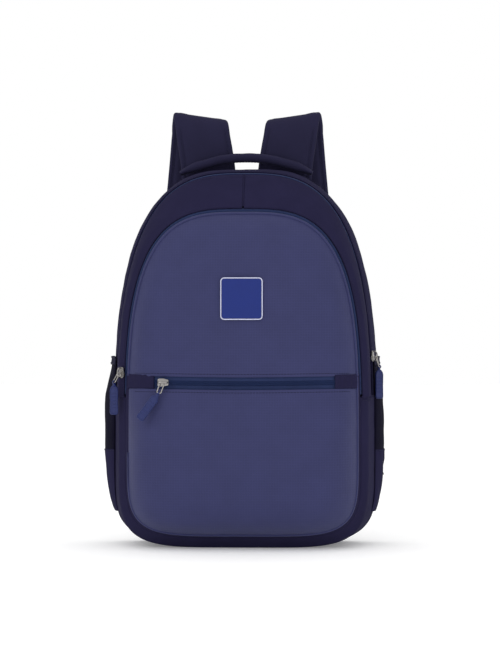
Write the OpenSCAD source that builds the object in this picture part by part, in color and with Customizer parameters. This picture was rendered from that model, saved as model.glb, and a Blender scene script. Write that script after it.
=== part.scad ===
// School backpack. Millimetres, +Z up, front of the bag towards -Y.
// The origin is on the floor, under the middle of the base.

/* [Body outline] */
// Width of the bag at its widest
body_w = 317; // [316:1:318]
// Height of the bag body without its straps
body_h = 450; // [449:1:452]
// Height at which the sides are widest
shoulder_z = 120; // [118:1:122]
// Squareness of the bottom corners
foot_power = 5; // [4.5:0.1:5.5]
// Thickness of the lined fabric of gussets and panels
skin = 2.4; // [2:0.1:2.6]
// Thickness of the foam back panel
back_thick = 8; // [7:0.5:9]

/* [Front] */
// Height of the fold where the front flap and the front half hinge
fold_z = 206; // [205.5:0.1:206.5]
// Height of the middle of the front pocket's zip
front_zip_z = 195.6; // [195.4:0.1:195.8]
// Width of the front pocket's zip band
front_zip_w = 15; // [14:0.5:15.5]
// Side of the square badge
badge_side = 49; // [40:1:55]
// Height of the middle of the badge
badge_z = 292.5; // [285:0.5:300]

/* [Side pockets] */
// Height of the elastic rim of the side pockets
pocket_rim_z = 224; // [220:1:224]
// Height where the pockets' mesh meets their lower fabric
pocket_seam_z = 112; // [105:1:120]
// How far the left side pocket stands out from the body
left_bulge = 10.5; // [9:0.5:11]
// How far the right side pocket stands out from the body
right_bulge = 7.5; // [6:0.5:8]

/* [Straps] */
// Width of the shoulder straps
strap_w = 66; // [60:1:68]
// Thickness of the shoulder straps
strap_thick = 12; // [11:0.5:12]
// Width of the adjusting webbing
web_w = 25; // [20:1:25]
// Diameter of the grab handle's rolled tube
handle_d = 11; // [9:0.5:11]

/* [Zip sliders] */
// Length of the blue tab on each zip pull
tab_len = 38; // [34:1:40]
// Width of the blue tab on each zip pull
tab_w = 10; // [8:0.5:10]

/* [Hidden] */

// Clearance between neighbouring pieces
gap = 0.3;

// Depths of the seams, from the back of the bag to its front
back_y = 92;
rear_seam_y = 84;
main_zip_y = 28;
main_split_y = 20;
crescent_y = 16;
middle_zip_y = -14;
middle_split_y = -26;
panel_edge_y = -32;
front_y = -65;

// Half width, top, bottom and squareness of the outline at each depth
HALF_W = [
    [-32, 133.5], [-26, 137.5], [-14, 146], [16, body_w / 2 - 8], [28, body_w / 2 - 6], [50, body_w / 2 - 2],
    [80, body_w / 2], [92, body_w / 2 - 3.5]
];
TOP = [
    [-32, 392], [-26, 395.5], [-14, 407], [16, body_h - 9], [28, body_h - 5], [60, body_h - 0.5],
    [80, body_h], [92, body_h - 4]
];
BOTTOM = [[-32, 17], [-14, 5], [-8, -0.8], [84, -0.8], [92, 2]];
CROWN = [[-32, 3.3], [-14, 3.2], [16, 3]];

// Colours
light_cloth = [0.25, 0.26, 0.40];
dark_cloth = [0.17, 0.165, 0.25];
mesh_cloth = [0.09, 0.08, 0.15];
zip_cloth = [0.15, 0.20, 0.34];
tab_blue = [0.18, 0.21, 0.40];
badge_blue = [0.19, 0.22, 0.48];
metal_grey = [0.75, 0.75, 0.78];

// Slows a step near both ends of 0 to 1
function ease(f) = (1 - cos(180 * f)) / 2;

// Length of a vector made 1
function unit(v) = v / norm(v);

// How far the outline reaches from shoulder_z at depth y, up or down
function reach(y, up, inset) =
    up ? lookup(y, TOP) - inset - shoulder_z : shoulder_z - lookup(y, BOTTOM) - inset;

// Squareness of the outline above or below shoulder_z
function power(y, up) = up ? lookup(y, CROWN) : foot_power;

// Half width of the body at depth y and height z
function half_at(y, z, inset = 0) =
    let (up = z >= shoulder_z)
    let (n = power(y, up))
    let (t = min(1, abs(z - shoulder_z) / reach(y, up, inset)))
    (lookup(y, HALF_W) - inset) * pow(1 - pow(t, n), 1 / n);

// Height of the outline above or below x at depth y
function rim_at(y, x, up, inset = 0) =
    let (n = power(y, up))
    let (t = min(1, abs(x) / (lookup(y, HALF_W) - inset)))
    let (h = reach(y, up, inset) * pow(1 - pow(t, n), 1 / n))
    up ? shoulder_z + h : max(inset, shoulder_z - h);

// Angle on the upper outline at height z
function angle_at(y, z, inset) =
    asin(pow((z - shoulder_z) / reach(y, true, inset), power(y, true) / 2));

// Point of the outline at depth y; angle 0 is the right shoulder, 90 the top and -90 the bottom
function edge_point(y, angle, inset) =
    let (up = angle >= 0)
    let (n = power(y, up))
    let (a = angle > 90 ? 180 - angle : angle < -90 ? -180 - angle : angle)
    let (side = abs(angle) > 90 ? -1 : 1)
    let (x = (lookup(y, HALF_W) - inset) * pow(max(0, cos(a)), 2 / n))
    let (h = reach(y, up, inset) * pow(abs(sin(a)), 2 / n))
    [side * x, y, up ? shoulder_z + h : max(inset, shoulder_z - h)];

// Solid swept through cross-sections that all have the same even number of points
module sweep(sections) {
    count = len(sections);
    size = len(sections[0]);
    last = (count - 1) * size;
    points = [for (s = sections) each s];
    sides = [
        for (i = [0:1:count - 2], j = [0:1:size - 1])
            let (a = i * size + j, b = i * size + (j + 1) % size)
            each [[a, b, b + size], [a, b + size, a + size]]
    ];
    first_cap = [
        for (j = [0:1:size / 2 - 2])
            each [[j, size - 1 - j, size - 2 - j], [j, size - 2 - j, j + 1]]
    ];
    last_cap = [for (f = first_cap) [last + f[0], last + f[2], last + f[1]]];
    polyhedron(points = points, faces = concat(sides, first_cap, last_cap), convexity = 10);
}

// Share of the way along a band, closer together near the top and near the ends
function arch_share(i, n) = i <= n / 2 ? ease(2 * i / n) / 2 : 1 - ease(2 * (n - i) / n) / 2;

// Strip of the body's skin that follows the arch above z_cut, between depths ys
module arch_band(ys, z_cut, out = 0, thick = skin, from = 0, to = 1, steps = 36) {
    sections = [
        for (i = [0:1:steps])
            let (f = from + (to - from) * arch_share(i, steps))
            [
                for (y = ys) let (a = angle_at(y, z_cut, out)) edge_point(y, a + f * (180 - 2 * a), out),
                for (k = [len(ys) - 1:-1:0])
                    let (y = ys[k], a = angle_at(y, z_cut, out + thick))
                    edge_point(y, a + f * (180 - 2 * a), out + thick)
            ]
    ];
    sweep(sections);
}

// Angle along the U of the lower body, from z_cut on the right, under the base, to z_cut on the left
function u_angle(y, z_cut, inset, f) =
    let (a = angle_at(y, z_cut, inset))
    let (g = f <= 0.5 ? f * 2 : (1 - f) * 2)
    let (down = g < 0.15 ? a * (1 - g / 0.15) : -90 * ease((g - 0.15) / 0.85))
    f <= 0.5 ? down : down >= 0 ? 180 - down : -180 - down;

// Strip of the body's skin below z_cut, between depths ys
module u_band(ys, z_cut, out = 0, thick = skin, steps = 40) {
    sections = [
        for (i = [0:1:steps]) [
            for (y = ys) edge_point(y, u_angle(y, z_cut, out, i / steps), out),
            for (k = [len(ys) - 1:-1:0])
                edge_point(ys[k], u_angle(ys[k], z_cut, out + thick, i / steps), out + thick)
        ]
    ];
    sweep(sections);
}

// Flat sheet across the body at depth y, from z_low to z_high, in from the outline by inset
module wall(y, thick, z_low, z_high, inset, steps = 24) {
    span = half_at(y, max(z_low, shoulder_z), inset);
    xs = [for (i = [0:1:steps]) -span * 0.995 * cos(180 * i / steps)];
    sections = [
        for (x = xs)
            let (top = min(z_high, rim_at(y, x, true, inset)), low = max(z_low, rim_at(y, x, false, inset)))
            [[x, y, low], [x, y, top], [x, y + thick, top], [x, y + thick, low]]
    ];
    sweep(sections);
}

// How far the front stands out at (x, z): 1 on the flat of the panel and 0 at its edge
function front_fullness(x, z) =
    let (up = z >= shoulder_z)
    let (n = power(panel_edge_y, up))
    let (across = min(1, abs(x) / lookup(panel_edge_y, HALF_W)))
    let (along = min(1, abs(z - shoulder_z) / reach(panel_edge_y, up, 0)))
    max(0, 1 - pow(pow(across, n) + pow(along, n), 9 / n));

// Depth of the front face of the upper panel
function upper_front_y(x, z) =
    panel_edge_y - skin + front_fullness(x, z) * (front_y - panel_edge_y + skin);

// Depth of the front face of the front pocket's panel, which has a belly
function lower_front_y(x, z) =
    let (belly = pow(max(0, sin(180 * min(1, max(0, (z - 17) / (front_zip_z - 17))))), 0.8))
    upper_front_y(x, z) - belly * 12 * front_fullness(x, z) * (1 - pow(abs(x) / 136, 3));

// Curved front sheet between z_low and z_high, a grid with the depth that front_face gives
module front_sheet(z_low, z_high, lower, thick, columns = 18, rows = 9) {
    w = half_at(panel_edge_y, shoulder_z, 0);
    xs = [for (i = [0:1:columns]) -w * 0.985 * cos(180 * i / columns)];
    sections = [
        for (x = xs)
            let (top = min(z_high, rim_at(panel_edge_y, x, true)))
            let (low = max(z_low, rim_at(panel_edge_y, x, false)))
            let (zs = [for (j = [0:1:rows]) low + (top - low) * ease(j / rows)])
            [
                for (z = zs) [x, lower ? lower_front_y(x, z) : upper_front_y(x, z), z],
                for (j = [rows:-1:0])
                    [x, thick + (lower ? lower_front_y(x, zs[j]) : upper_front_y(x, zs[j])), zs[j]]
            ]
    ];
    sweep(sections);
}

// ---------------------------------------------------------------- back and base

module back_panel() {
    color(dark_cloth) wall(rear_seam_y + gap, back_thick - gap, 6, body_h - 6, 6.4, 28);
}

// Four padded mesh cushions on the back panel
module back_pads() {
    for (side = [-1, 1], pad = [[48, 190], [248, 380]])
        color(mesh_cloth)
            translate([side * 66, back_y + gap, 0])
                rotate([-90, 0, 0])
                    linear_extrude(7)
                        translate([-48, -pad[1]])
                            square([96, pad[1] - pad[0]]);
}

// Patch behind the seam where the straps and handle are sewn down
module top_yoke() {
    color(dark_cloth) translate([-88, back_y + gap, 392]) cube([176, 2.4, 40]);
}

module rear_gusset() {
    color(dark_cloth) arch_band([back_y, 80, 50, main_zip_y + gap], fold_z + gap);
}

module lower_gusset() {
    color(dark_cloth) u_band([back_y, 80, 50, crescent_y, -8, middle_zip_y, panel_edge_y + gap], fold_z - gap);
}

// Stiff board that lies on the bottom inside the main compartment
module base_board() {
    color([0.12, 0.12, 0.14]) translate([-105, 2, 8.5]) cube([210, 66, 3]);
}

// ---------------------------------------------------------------- main compartment

module main_zip_rear_tape() {
    color(zip_cloth) arch_band([main_zip_y, main_split_y + gap / 2], fold_z + gap, 0, 2);
}

module main_zip_front_tape() {
    color(zip_cloth) arch_band([main_split_y - gap / 2, crescent_y + gap / 2], fold_z + gap, 0, 2);
}

// Half of the gap at the crescent's middle seam, as a share of the arch
seam_share = 0.00002;

module crescent_left() {
    color(dark_cloth)
        arch_band([crescent_y - gap / 2, 0, middle_zip_y + gap], fold_z + gap, 0, skin, 0.5 + seam_share, 1, 20);
}

module crescent_right() {
    color(dark_cloth)
        arch_band([crescent_y - gap / 2, 0, middle_zip_y + gap], fold_z + gap, 0, skin, 0, 0.5 - seam_share, 20);
}

// Wall between the main and middle compartments, in two because the front half folds at fold_z
module divider_lower() {
    color(dark_cloth) wall(middle_zip_y + 0.5, 1.6, 6, fold_z - gap, 4.6);
}

module divider_upper() {
    color(dark_cloth) wall(middle_zip_y + 0.5, 1.6, fold_z + gap, 420, 4.6);
}

// Open-topped slip pocket for a laptop or folder against the back
module sleeve_panel() {
    color(dark_cloth) wall(70, 2, 12, 292, 8);
}

module sleeve_binding() {
    color(mesh_cloth) translate([-140, 69, 292 + gap]) cube([280, 4, 8]);
}

// ---------------------------------------------------------------- middle compartment

module middle_zip_rear_tape() {
    color(zip_cloth) arch_band([middle_zip_y, middle_split_y + gap / 2], fold_z + gap, 0, 2);
}

module middle_zip_front_tape() {
    color(zip_cloth) arch_band([middle_split_y - gap / 2, panel_edge_y + gap], fold_z + gap, 0, 2);
}

module upper_front_panel() {
    color(light_cloth) front_sheet(fold_z + gap, 400, false, skin);
}

// Piping sewn round the edge of the front, above and below the fold
module upper_piping() {
    color(light_cloth) arch_band([panel_edge_y, panel_edge_y - 2.6], fold_z + gap, -1.5, 1.1);
}

module lower_piping() {
    color(light_cloth) u_band([panel_edge_y, panel_edge_y - 2.6], fold_z - gap, -1.5, 1.1);
}

// Rounded square in the XZ plane, facing -Y, its back at depth y
module rounded_plate(side, corner, y, thick) {
    flat = side / 2 - corner;
    translate([0, y, badge_z])
        rotate([90, 0, 0])
            linear_extrude(thick)
                union() {
                    square([side, 2 * flat], center = true);
                    square([2 * flat, side], center = true);
                    for (sx = [-1, 1], sz = [-1, 1])
                        translate([sx * flat, sz * flat]) circle(corner, $fn = 32);
                }
}

module badge_plate() {
    color(badge_blue) rounded_plate(badge_side - 3, 3, front_y - gap, 1.8);
}

module badge_border() {
    color([0.78, 0.78, 0.9])
        difference() {
            rounded_plate(badge_side, 4.5, front_y - gap, 1.5);
            rounded_plate(badge_side - 3 + 2 * gap, 3.3, front_y + 1, 4);
        }
}

// ---------------------------------------------------------------- front pocket

module lower_front_panel() {
    color(light_cloth) front_sheet(0, front_zip_z - front_zip_w / 2 - gap, true, skin);
}

// Back wall of the front pocket, and front wall of the middle compartment below the fold
module pocket_lining() {
    color(mesh_cloth) wall(panel_edge_y - 6, 1.6, 24, fold_z - gap, 8);
}

// Lower tape with the closed row of teeth
module front_zip_tape() {
    bottom = front_zip_z - front_zip_w / 2;
    color(zip_cloth) translate([-112, front_y, bottom]) cube([224, 1.8, front_zip_w * 0.7]);
}

module front_zip_upper_tape() {
    bottom = front_zip_z + front_zip_w * 0.2 + gap;
    color(zip_cloth) translate([-112, front_y, bottom]) cube([224, 1.8, fold_z - gap - bottom]);
}

// Cloth tab that covers one end of the front pocket's zip
module front_zip_tab(side) {
    sections = [
        for (x = [112 + gap, 118, 124, 129])
            let (y = upper_front_y(x, front_zip_z) - 0.4)
            [
                [side * x, y, front_zip_z - 6.5], [side * x, y, front_zip_z + 6.5],
                [side * x, y + 2, front_zip_z + 6.5], [side * x, y + 2, front_zip_z - 6.5]
            ]
    ];
    color(dark_cloth) sweep(sections);
}

module front_zip_tab_left() { front_zip_tab(-1); }
module front_zip_tab_right() { front_zip_tab(1); }

// ---------------------------------------------------------------- side pockets

pocket_back_y = 78;
pocket_front_y = 32;

// How far a side pocket of that bulge stands off the body at height z
function pocket_swell(bulge, z) =
    z > pocket_seam_z
        ? 5 + (bulge - 5) * pow(max(0, cos(90 * abs(z - 150) / 85)), 0.8)
        : 1 + (bulge - 1.8) * sqrt(max(0, (z - 38) / (pocket_seam_z - 38)));

// Outside of a side pocket at share f of the way from its back seam to its front seam
function pocket_point(f, z, out, bulge) =
    let (y = pocket_back_y + (pocket_front_y - pocket_back_y) * f)
    [half_at(y, z) + gap + out + pocket_swell(bulge, z) * pow(sin(180 * f), 0.6), y, z];

// Part of a side pocket's wall between two heights
module pocket_wall(left, z_low, z_high, thick, rows, steps = 12) {
    bulge = left ? left_bulge : right_bulge;
    sections = [
        for (i = [0:1:rows])
            let (z = z_low + (z_high - z_low) * i / rows)
            [
                for (k = [0:1:steps]) pocket_point(k / steps, z, thick, bulge),
                for (k = [steps:-1:0]) pocket_point(k / steps, z, 0, bulge)
            ]
    ];
    mirror([left ? 1 : 0, 0, 0]) sweep(sections);
}

module side_mesh(left) {
    color(mesh_cloth) pocket_wall(left, pocket_seam_z + gap, pocket_rim_z - 8, 1.2, 7);
}

module side_base(left) {
    color(mesh_cloth) pocket_wall(left, 40, pocket_seam_z, 1.6, 5);
}

module side_hem(left) {
    color(mesh_cloth) pocket_wall(left, pocket_rim_z - 8 + gap, pocket_rim_z, 1.8, 1);
}

module side_mesh_left() { side_mesh(true); }
module side_mesh_right() { side_mesh(false); }
module side_base_left() { side_base(true); }
module side_base_right() { side_base(false); }
module side_hem_left() { side_hem(true); }
module side_hem_right() { side_hem(false); }

// ---------------------------------------------------------------- grab handle

// Middle line of the rolled handle
HANDLE = [
    [-80, 84, 446], [-73, 84, 450], [-60, 84, 455], [-44, 84, 459.5], [-24, 84, 464], [0, 84, 465.5],
    [24, 84, 464], [44, 84, 459.5], [60, 84, 455], [73, 84, 450], [80, 84, 446]
];

// Ring of points round a path point, for a flat or round strap whose width runs across the path
function ring(path, i, shape) =
    let (before = path[max(0, i - 1)], after = path[min(len(path) - 1, i + 1)])
    let (along = unit(after - before))
    let (deep = unit([0, 1, 0] - along[1] * along))
    let (across = cross(along, deep))
    [for (p = shape) path[i] + p[0] * across + p[1] * deep];

module handle() {
    round_shape = [for (k = [0:1:9]) handle_d / 2 * [cos(36 * k), sin(36 * k)]];
    color(dark_cloth) sweep([for (i = [0:1:len(HANDLE) - 1]) ring(HANDLE, i, round_shape)]);
}

// Doubled webbing that sews an end of the handle into the top seam
module handle_anchor(left) {
    sections = [
        for (x = [70:4:90]) [
            for (y = [76, 80, 91]) [(left ? -1 : 1) * x, y, rim_at(y, x, true) + 2 * gap],
            for (y = [91, 80, 76]) [(left ? -1 : 1) * x, y, rim_at(y, x, true) + 2 * gap + 1.6]
        ]
    ];
    color(dark_cloth) sweep(sections);
}

module handle_anchor_left() { handle_anchor(true); }
module handle_anchor_right() { handle_anchor(false); }

// ---------------------------------------------------------------- shoulder straps

// Middle line of a right strap from its seam to its fold, and from the fold down to the ladder lock
STRAP_ROOT = [
    [46, 102, 434], [47, 102, 452], [50, 102.5, 474], [53, 103.5, 492], [55, 107, 507], [57, 114, 513.5],
    [58.5, 120.5, 510], [60, 124.8, 504.5], [60, 125, 500.4]
];
STRAP = [
    [60, 125.2, 499.4], [60, 125.5, 494], [61, 126, 484], [64, 126, 450], [68, 124.5, 410], [75, 122, 360],
    [84, 120, 310], [93, 119, 260], [101, 119, 215], [107, 119, 180]
];
// Share of the strap's full width at each point of STRAP
STRAP_TAPER = [1, 1, 1, 1, 1, 1, 0.98, 0.92, 0.82, 0.62];

// Flattened outline of a padded strap
function strap_shape(width) =
    let (a = width / 2, b = strap_thick / 2)
    [[-a, -b / 2], [-a + 3, -b], [a - 3, -b], [a, -b / 2], [a, b / 2], [a - 3, b], [-a + 3, b], [-a, b / 2]];

// Strap stretch whose width stays across the bag while it runs along the path
function strap_ring(path, i, shape) =
    let (before = path[max(0, i - 1)], after = path[min(len(path) - 1, i + 1)])
    let (along = unit(after - before))
    let (across = unit([1, 0, 0] - along[0] * along))
    let (deep = cross(along, across))
    [for (p = shape) path[i] + p[0] * across + p[1] * deep];

module strap_root(left) {
    color(dark_cloth)
        mirror([left ? 1 : 0, 0, 0])
            sweep([for (i = [0:1:len(STRAP_ROOT) - 1]) strap_ring(STRAP_ROOT, i, strap_shape(strap_w))]);
}

module strap(left) {
    color(dark_cloth)
        mirror([left ? 1 : 0, 0, 0])
            sweep([for (i = [0:1:len(STRAP) - 1]) strap_ring(STRAP, i, strap_shape(strap_w * STRAP_TAPER[i]))]);
}

module strap_root_left() { strap_root(true); }
module strap_root_right() { strap_root(false); }
module strap_left() { strap(true); }
module strap_right() { strap(false); }

// Moulded adjuster at the end of a strap, with three bars and two slots
lock_at = [110, 119, 163];
lock_lean = -18;

module lock_frame(left) {
    mirror([left ? 1 : 0, 0, 0]) translate(lock_at) rotate([0, lock_lean, 0]) children();
}

module ladder_lock(left) {
    color([0.07, 0.07, 0.09])
        lock_frame(left)
            difference() {
                translate([-17, -2.5, -14]) cube([34, 5, 28]);
                translate([-13.2, -4, 5]) cube([26.4, 8, 5]);
                translate([-13.2, -4, -8.5]) cube([26.4, 8, 5]);
            }
}

module ladder_lock_left() { ladder_lock(true); }
module ladder_lock_right() { ladder_lock(false); }

// Free end of the adjusting webbing, folded and stitched, behind the strap
module web_tail(left) {
    color(dark_cloth)
        lock_frame(left)
            union() {
                translate([-web_w / 2, 3.4, -84]) cube([web_w, 1.6, 86]);
                translate([-web_w / 2, 3.4, -92]) cube([web_w, 4, 8]);
            }
}

module web_tail_left() { web_tail(true); }
module web_tail_right() { web_tail(false); }

// Middle line of the right webbing from the wing to just under the ladder lock
WEBBING = [[156, 97, 76], [149, 101, 92], [139, 107, 110], [128, 113, 128], [120, 116, 139], [116.5, 117, 144]];

module webbing(left) {
    flat_shape = [[-web_w / 2, -0.8], [web_w / 2, -0.8], [web_w / 2, 0.8], [-web_w / 2, 0.8]];
    color(dark_cloth)
        mirror([left ? 1 : 0, 0, 0])
            sweep([for (i = [0:1:len(WEBBING) - 1]) strap_ring(WEBBING, i, flat_shape)]);
}

module webbing_left() { webbing(true); }
module webbing_right() { webbing(false); }

// Cloth wing sewn into the back seam, which takes the pull of the webbing
module anchor_wing(left) {
    color(dark_cloth)
        mirror([left ? 1 : 0, 0, 0])
            translate([0, back_y + 2.8, 0])
                rotate([90, 0, 0])
                    linear_extrude(2.4)
                        polygon([[126, 36], [149, 36], [157, 58], [164, 80], [168, 100], [168, 113], [150, 118], [126, 118]]);
}

module anchor_wing_left() { anchor_wing(true); }
module anchor_wing_right() { anchor_wing(false); }

// ---------------------------------------------------------------- zip sliders
// Each is drawn with the zip running along +Z, its face towards -Y and the tape at y = 0.

slider_lift = 1.6;
slider_top = slider_lift + 2.6;
crown_y = 8.8;
pull_y = 6;
link_drop = 13;

module slider_shape() {
    color(metal_grey)
        union() {
            translate([-4.6, -slider_top, -6]) cube([9.2, 2.6, 9]);
            translate([-3.4, -slider_top, 2.9]) cube([6.8, 2.6, 3.6]);
            translate([-1.1, -crown_y, 4.6]) cube([2.2, crown_y - slider_lift - 1, 1.5]);
            translate([-1.1, -crown_y, -6]) cube([2.2, crown_y - slider_lift - 1, 1.5]);
            translate([-1.1, -crown_y, -6]) cube([2.2, 1.5, 12.1]);
        }
}

// Wire link that hangs from its top bar, which passes under the slider's crown
module pull_shape() {
    color(metal_grey)
        union() {
            rotate([0, 90, 0]) cylinder(h = 6.2, r = 0.8, center = true, $fn = 32);
            for (side = [-1, 1])
                translate([side * 2.4 - 0.7, -0.7, -link_drop]) cube([1.4, 1.4, link_drop]);
            translate([0, 0, -link_drop])
                rotate([0, 90, 0]) cylinder(h = 6.2, r = 0.8, center = true, $fn = 32);
        }
}

// Tab that hangs from the link's lower bar; its flat part is turned about its length by twist
module tab_shape(twist) {
    color(tab_blue)
        difference() {
            union() {
                rotate([0, 90, 0]) cylinder(h = 2.2, r = 2, center = true, $fn = 32);
                translate([-1.1, -1.1, -5]) cube([2.2, 2.2, 5]);
                rotate([0, 0, twist]) translate([-tab_w / 2, -1.3, -tab_len]) cube([tab_w, 2.6, tab_len - 3.4]);
            }
            rotate([0, 90, 0]) cylinder(h = 8, r = 1.15, center = true, $fn = 32);
        }
}

// Where each slider rests on its zip, and how far the zip leans there
main_at = [half_at(24, 225), 24, 225];
main_lean = -4;
middle_at = [-half_at(-20, 206), -20, 206];
middle_lean = 3;
front_at = [-91, front_y, front_zip_z];

// Turn about Z that makes a slider's face look along the skin's normal there
main_turn = 78;
middle_turn = -52;

// How far each link stands off the bag, and how far the front one and its tab lean to the left
main_swing = 20;
middle_swing = 32;
front_swing = 7;
front_lean = 20;
front_tab_lean = 36;

// Way that the main slider's tab faces
main_tab_turn = 25;

// Direction that a slider's face looks in
function face(turn) = [sin(turn), -cos(turn), 0];

// Middle of a link's top bar, and of its lower bar
function pull_at(slider_at, turn) = slider_at + pull_y * face(turn);
function link_at(slider_at, turn, swing) =
    pull_at(slider_at, turn) + link_drop * (sin(swing) * face(turn) - [0, 0, cos(swing)]);

module side_slider(at, turn, lean) { translate(at) rotate([0, lean, 0]) rotate([0, 0, turn]) slider_shape(); }

module side_pull(at, turn, swing) { translate(pull_at(at, turn)) rotate([-swing, 0, turn]) pull_shape(); }

module side_tab(at, turn, swing, twist) {
    translate(link_at(at, turn, swing)) rotate([0, 0, turn]) tab_shape(twist);
}

module front_hang() {
    translate(pull_at(front_at, 0)) rotate([-front_swing, 0, 0]) rotate([0, front_lean, 0]) children();
}

module main_slider() { side_slider(main_at, main_turn, main_lean); }
module main_pull() { side_pull(main_at, main_turn, main_swing); }
module main_tab() { side_tab(main_at, main_turn, main_swing, main_tab_turn - main_turn); }
module middle_slider() { side_slider(middle_at, middle_turn, middle_lean); }
module middle_pull() { side_pull(middle_at, middle_turn, middle_swing); }
module middle_tab() { side_tab(middle_at, middle_turn, middle_swing, -middle_turn); }
module front_slider() { translate(front_at) rotate([0, 90, 0]) slider_shape(); }
module front_pull() { front_hang() pull_shape(); }
module front_tab() {
    front_hang() translate([0, 0, -link_drop]) rotate([0, front_tab_lean - front_lean, 0]) tab_shape(0);
}

back_panel();
back_pads();
top_yoke();
rear_gusset();
lower_gusset();
base_board();
main_zip_rear_tape();
main_zip_front_tape();
crescent_left();
crescent_right();
divider_lower();
divider_upper();
middle_zip_rear_tape();
middle_zip_front_tape();
upper_front_panel();
upper_piping();
badge_plate();
badge_border();
lower_front_panel();
lower_piping();
pocket_lining();
front_zip_tape();
front_zip_upper_tape();
front_zip_tab_left();
front_zip_tab_right();
side_mesh_left();
side_mesh_right();
side_base_left();
side_base_right();
side_hem_left();
side_hem_right();
sleeve_panel();
sleeve_binding();
handle();
handle_anchor_left();
handle_anchor_right();
strap_root_left();
strap_root_right();
strap_left();
strap_right();
ladder_lock_left();
ladder_lock_right();
web_tail_left();
web_tail_right();
webbing_left();
webbing_right();
anchor_wing_left();
anchor_wing_right();
main_slider();
main_pull();
main_tab();
middle_slider();
middle_pull();
middle_tab();
front_slider();
front_pull();
front_tab();
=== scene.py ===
"""School backpack: cloth, zips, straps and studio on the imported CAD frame. Shapes are in millimetres."""

import math

import bmesh
import bpy
import numpy as np
from mathutils import Matrix, Vector, noise
from mathutils.kdtree import KDTree


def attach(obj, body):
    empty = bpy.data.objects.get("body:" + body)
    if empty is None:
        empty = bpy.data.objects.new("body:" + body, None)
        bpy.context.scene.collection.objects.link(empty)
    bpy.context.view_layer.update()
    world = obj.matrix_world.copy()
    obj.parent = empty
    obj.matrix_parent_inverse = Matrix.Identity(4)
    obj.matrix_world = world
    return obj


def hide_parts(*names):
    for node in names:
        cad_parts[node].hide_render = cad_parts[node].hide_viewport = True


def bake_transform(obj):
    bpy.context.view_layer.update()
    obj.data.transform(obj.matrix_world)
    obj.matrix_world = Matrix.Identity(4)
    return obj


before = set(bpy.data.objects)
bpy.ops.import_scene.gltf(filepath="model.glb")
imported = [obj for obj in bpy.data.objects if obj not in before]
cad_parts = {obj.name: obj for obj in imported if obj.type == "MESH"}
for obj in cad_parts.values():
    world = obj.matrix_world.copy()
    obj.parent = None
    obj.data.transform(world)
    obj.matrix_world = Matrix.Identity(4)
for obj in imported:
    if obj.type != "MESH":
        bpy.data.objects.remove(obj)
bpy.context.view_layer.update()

MM = 0.001
UV_MM = 100

# ---- outline of the body, as in the CAD

SHOULDER_Z = 120
FOLD_Z = 206
SEAM_Z = 178
HEM_Z = 202.8
POCKET_HEM_Z = 188.4
# Tables of (y, value): half width, top, bottom and the power of the curve above the shoulder
HALF_W = (
    (-32, 133.5), (-26, 137.5), (-14, 146), (16, 150.5), (28, 152.5), (50, 156.5), (80, 158.5), (92, 155),
)
TOP = ((-32, 392), (-26, 395.5), (-14, 407), (16, 441), (28, 445), (60, 449.5), (80, 450), (92, 446))
BOTTOM = ((-32, 17), (-14, 5), (-8, 0), (84, 0), (92, 2))
CROWN = ((-32, 3.3), (-14, 3.2), (16, 3))
FOOT_POWER = 5
PANEL_EDGE_Y = -32
FRONT_Y = -65
ZIP_Z = 195.6
CRESCENT_REAR_Y = 16
CRESCENT_FRONT_Y = -22.4
GUSSET_FRONT_Y = 28
REAR_SEAM_Y = 90
MAIN_ZIP_Y = 20
MIDDLE_ZIP_Y = -26
TAPE_THICK = 0.9


def lookup(y, table):
    if y <= table[0][0]:
        return table[0][1]
    for (a, b), (c, d) in zip(table, table[1:]):
        if y <= c:
            return b + (d - b) * (y - a) / (c - a)
    return table[-1][1]


def reach(y, up, inset=0):
    return lookup(y, TOP) - inset - SHOULDER_Z if up else SHOULDER_Z - lookup(y, BOTTOM) - inset


def power(y, up):
    return lookup(y, CROWN) if up else FOOT_POWER


def half_at(y, z):
    """Half width of the body at a height."""
    up = z >= SHOULDER_Z
    n = power(y, up)
    t = min(1, abs(z - SHOULDER_Z) / reach(y, up))
    return lookup(y, HALF_W) * (1 - t**n) ** (1 / n)


def rim_at(y, x):
    """Height of the arch above x."""
    n = power(y, True)
    t = min(1, abs(x) / lookup(y, HALF_W))
    return SHOULDER_Z + reach(y, True) * (1 - t**n) ** (1 / n)


def angle_at(y, z, inset=0):
    return math.degrees(math.asin(((z - SHOULDER_Z) / reach(y, True, inset)) ** (power(y, True) / 2)))


def edge_point(y, angle, inset=0):
    up = angle >= 0
    n = power(y, up)
    a = 180 - angle if angle > 90 else -180 - angle if angle < -90 else angle
    side = -1 if abs(angle) > 90 else 1
    x = (lookup(y, HALF_W) - inset) * max(0, math.cos(math.radians(a))) ** (2 / n)
    h = reach(y, up, inset) * abs(math.sin(math.radians(a))) ** (2 / n)
    return (side * x, y, SHOULDER_Z + h if up else SHOULDER_Z - h)


def ease(f):
    return (1 - math.cos(math.pi * f)) / 2


# ---- small geometry tools


def crinkle(p, size, amount):
    """Smooth random displacement of a point, the same on every run."""
    return amount * noise.noise(Vector((p[0] / size, p[1] / size + 7.3, p[2] / size - 3.1)))


def evenly(points, step):
    """Points at equal steps along a polyline."""
    p = np.array(points, float)
    d = np.concatenate([[0], np.cumsum(np.linalg.norm(np.diff(p, axis=0), axis=1))])
    count = max(2, int(round(d[-1] / step)) + 1)
    s = np.linspace(0, d[-1], count)
    return np.stack([np.interp(s, d, p[:, k]) for k in range(3)], axis=1)


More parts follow.
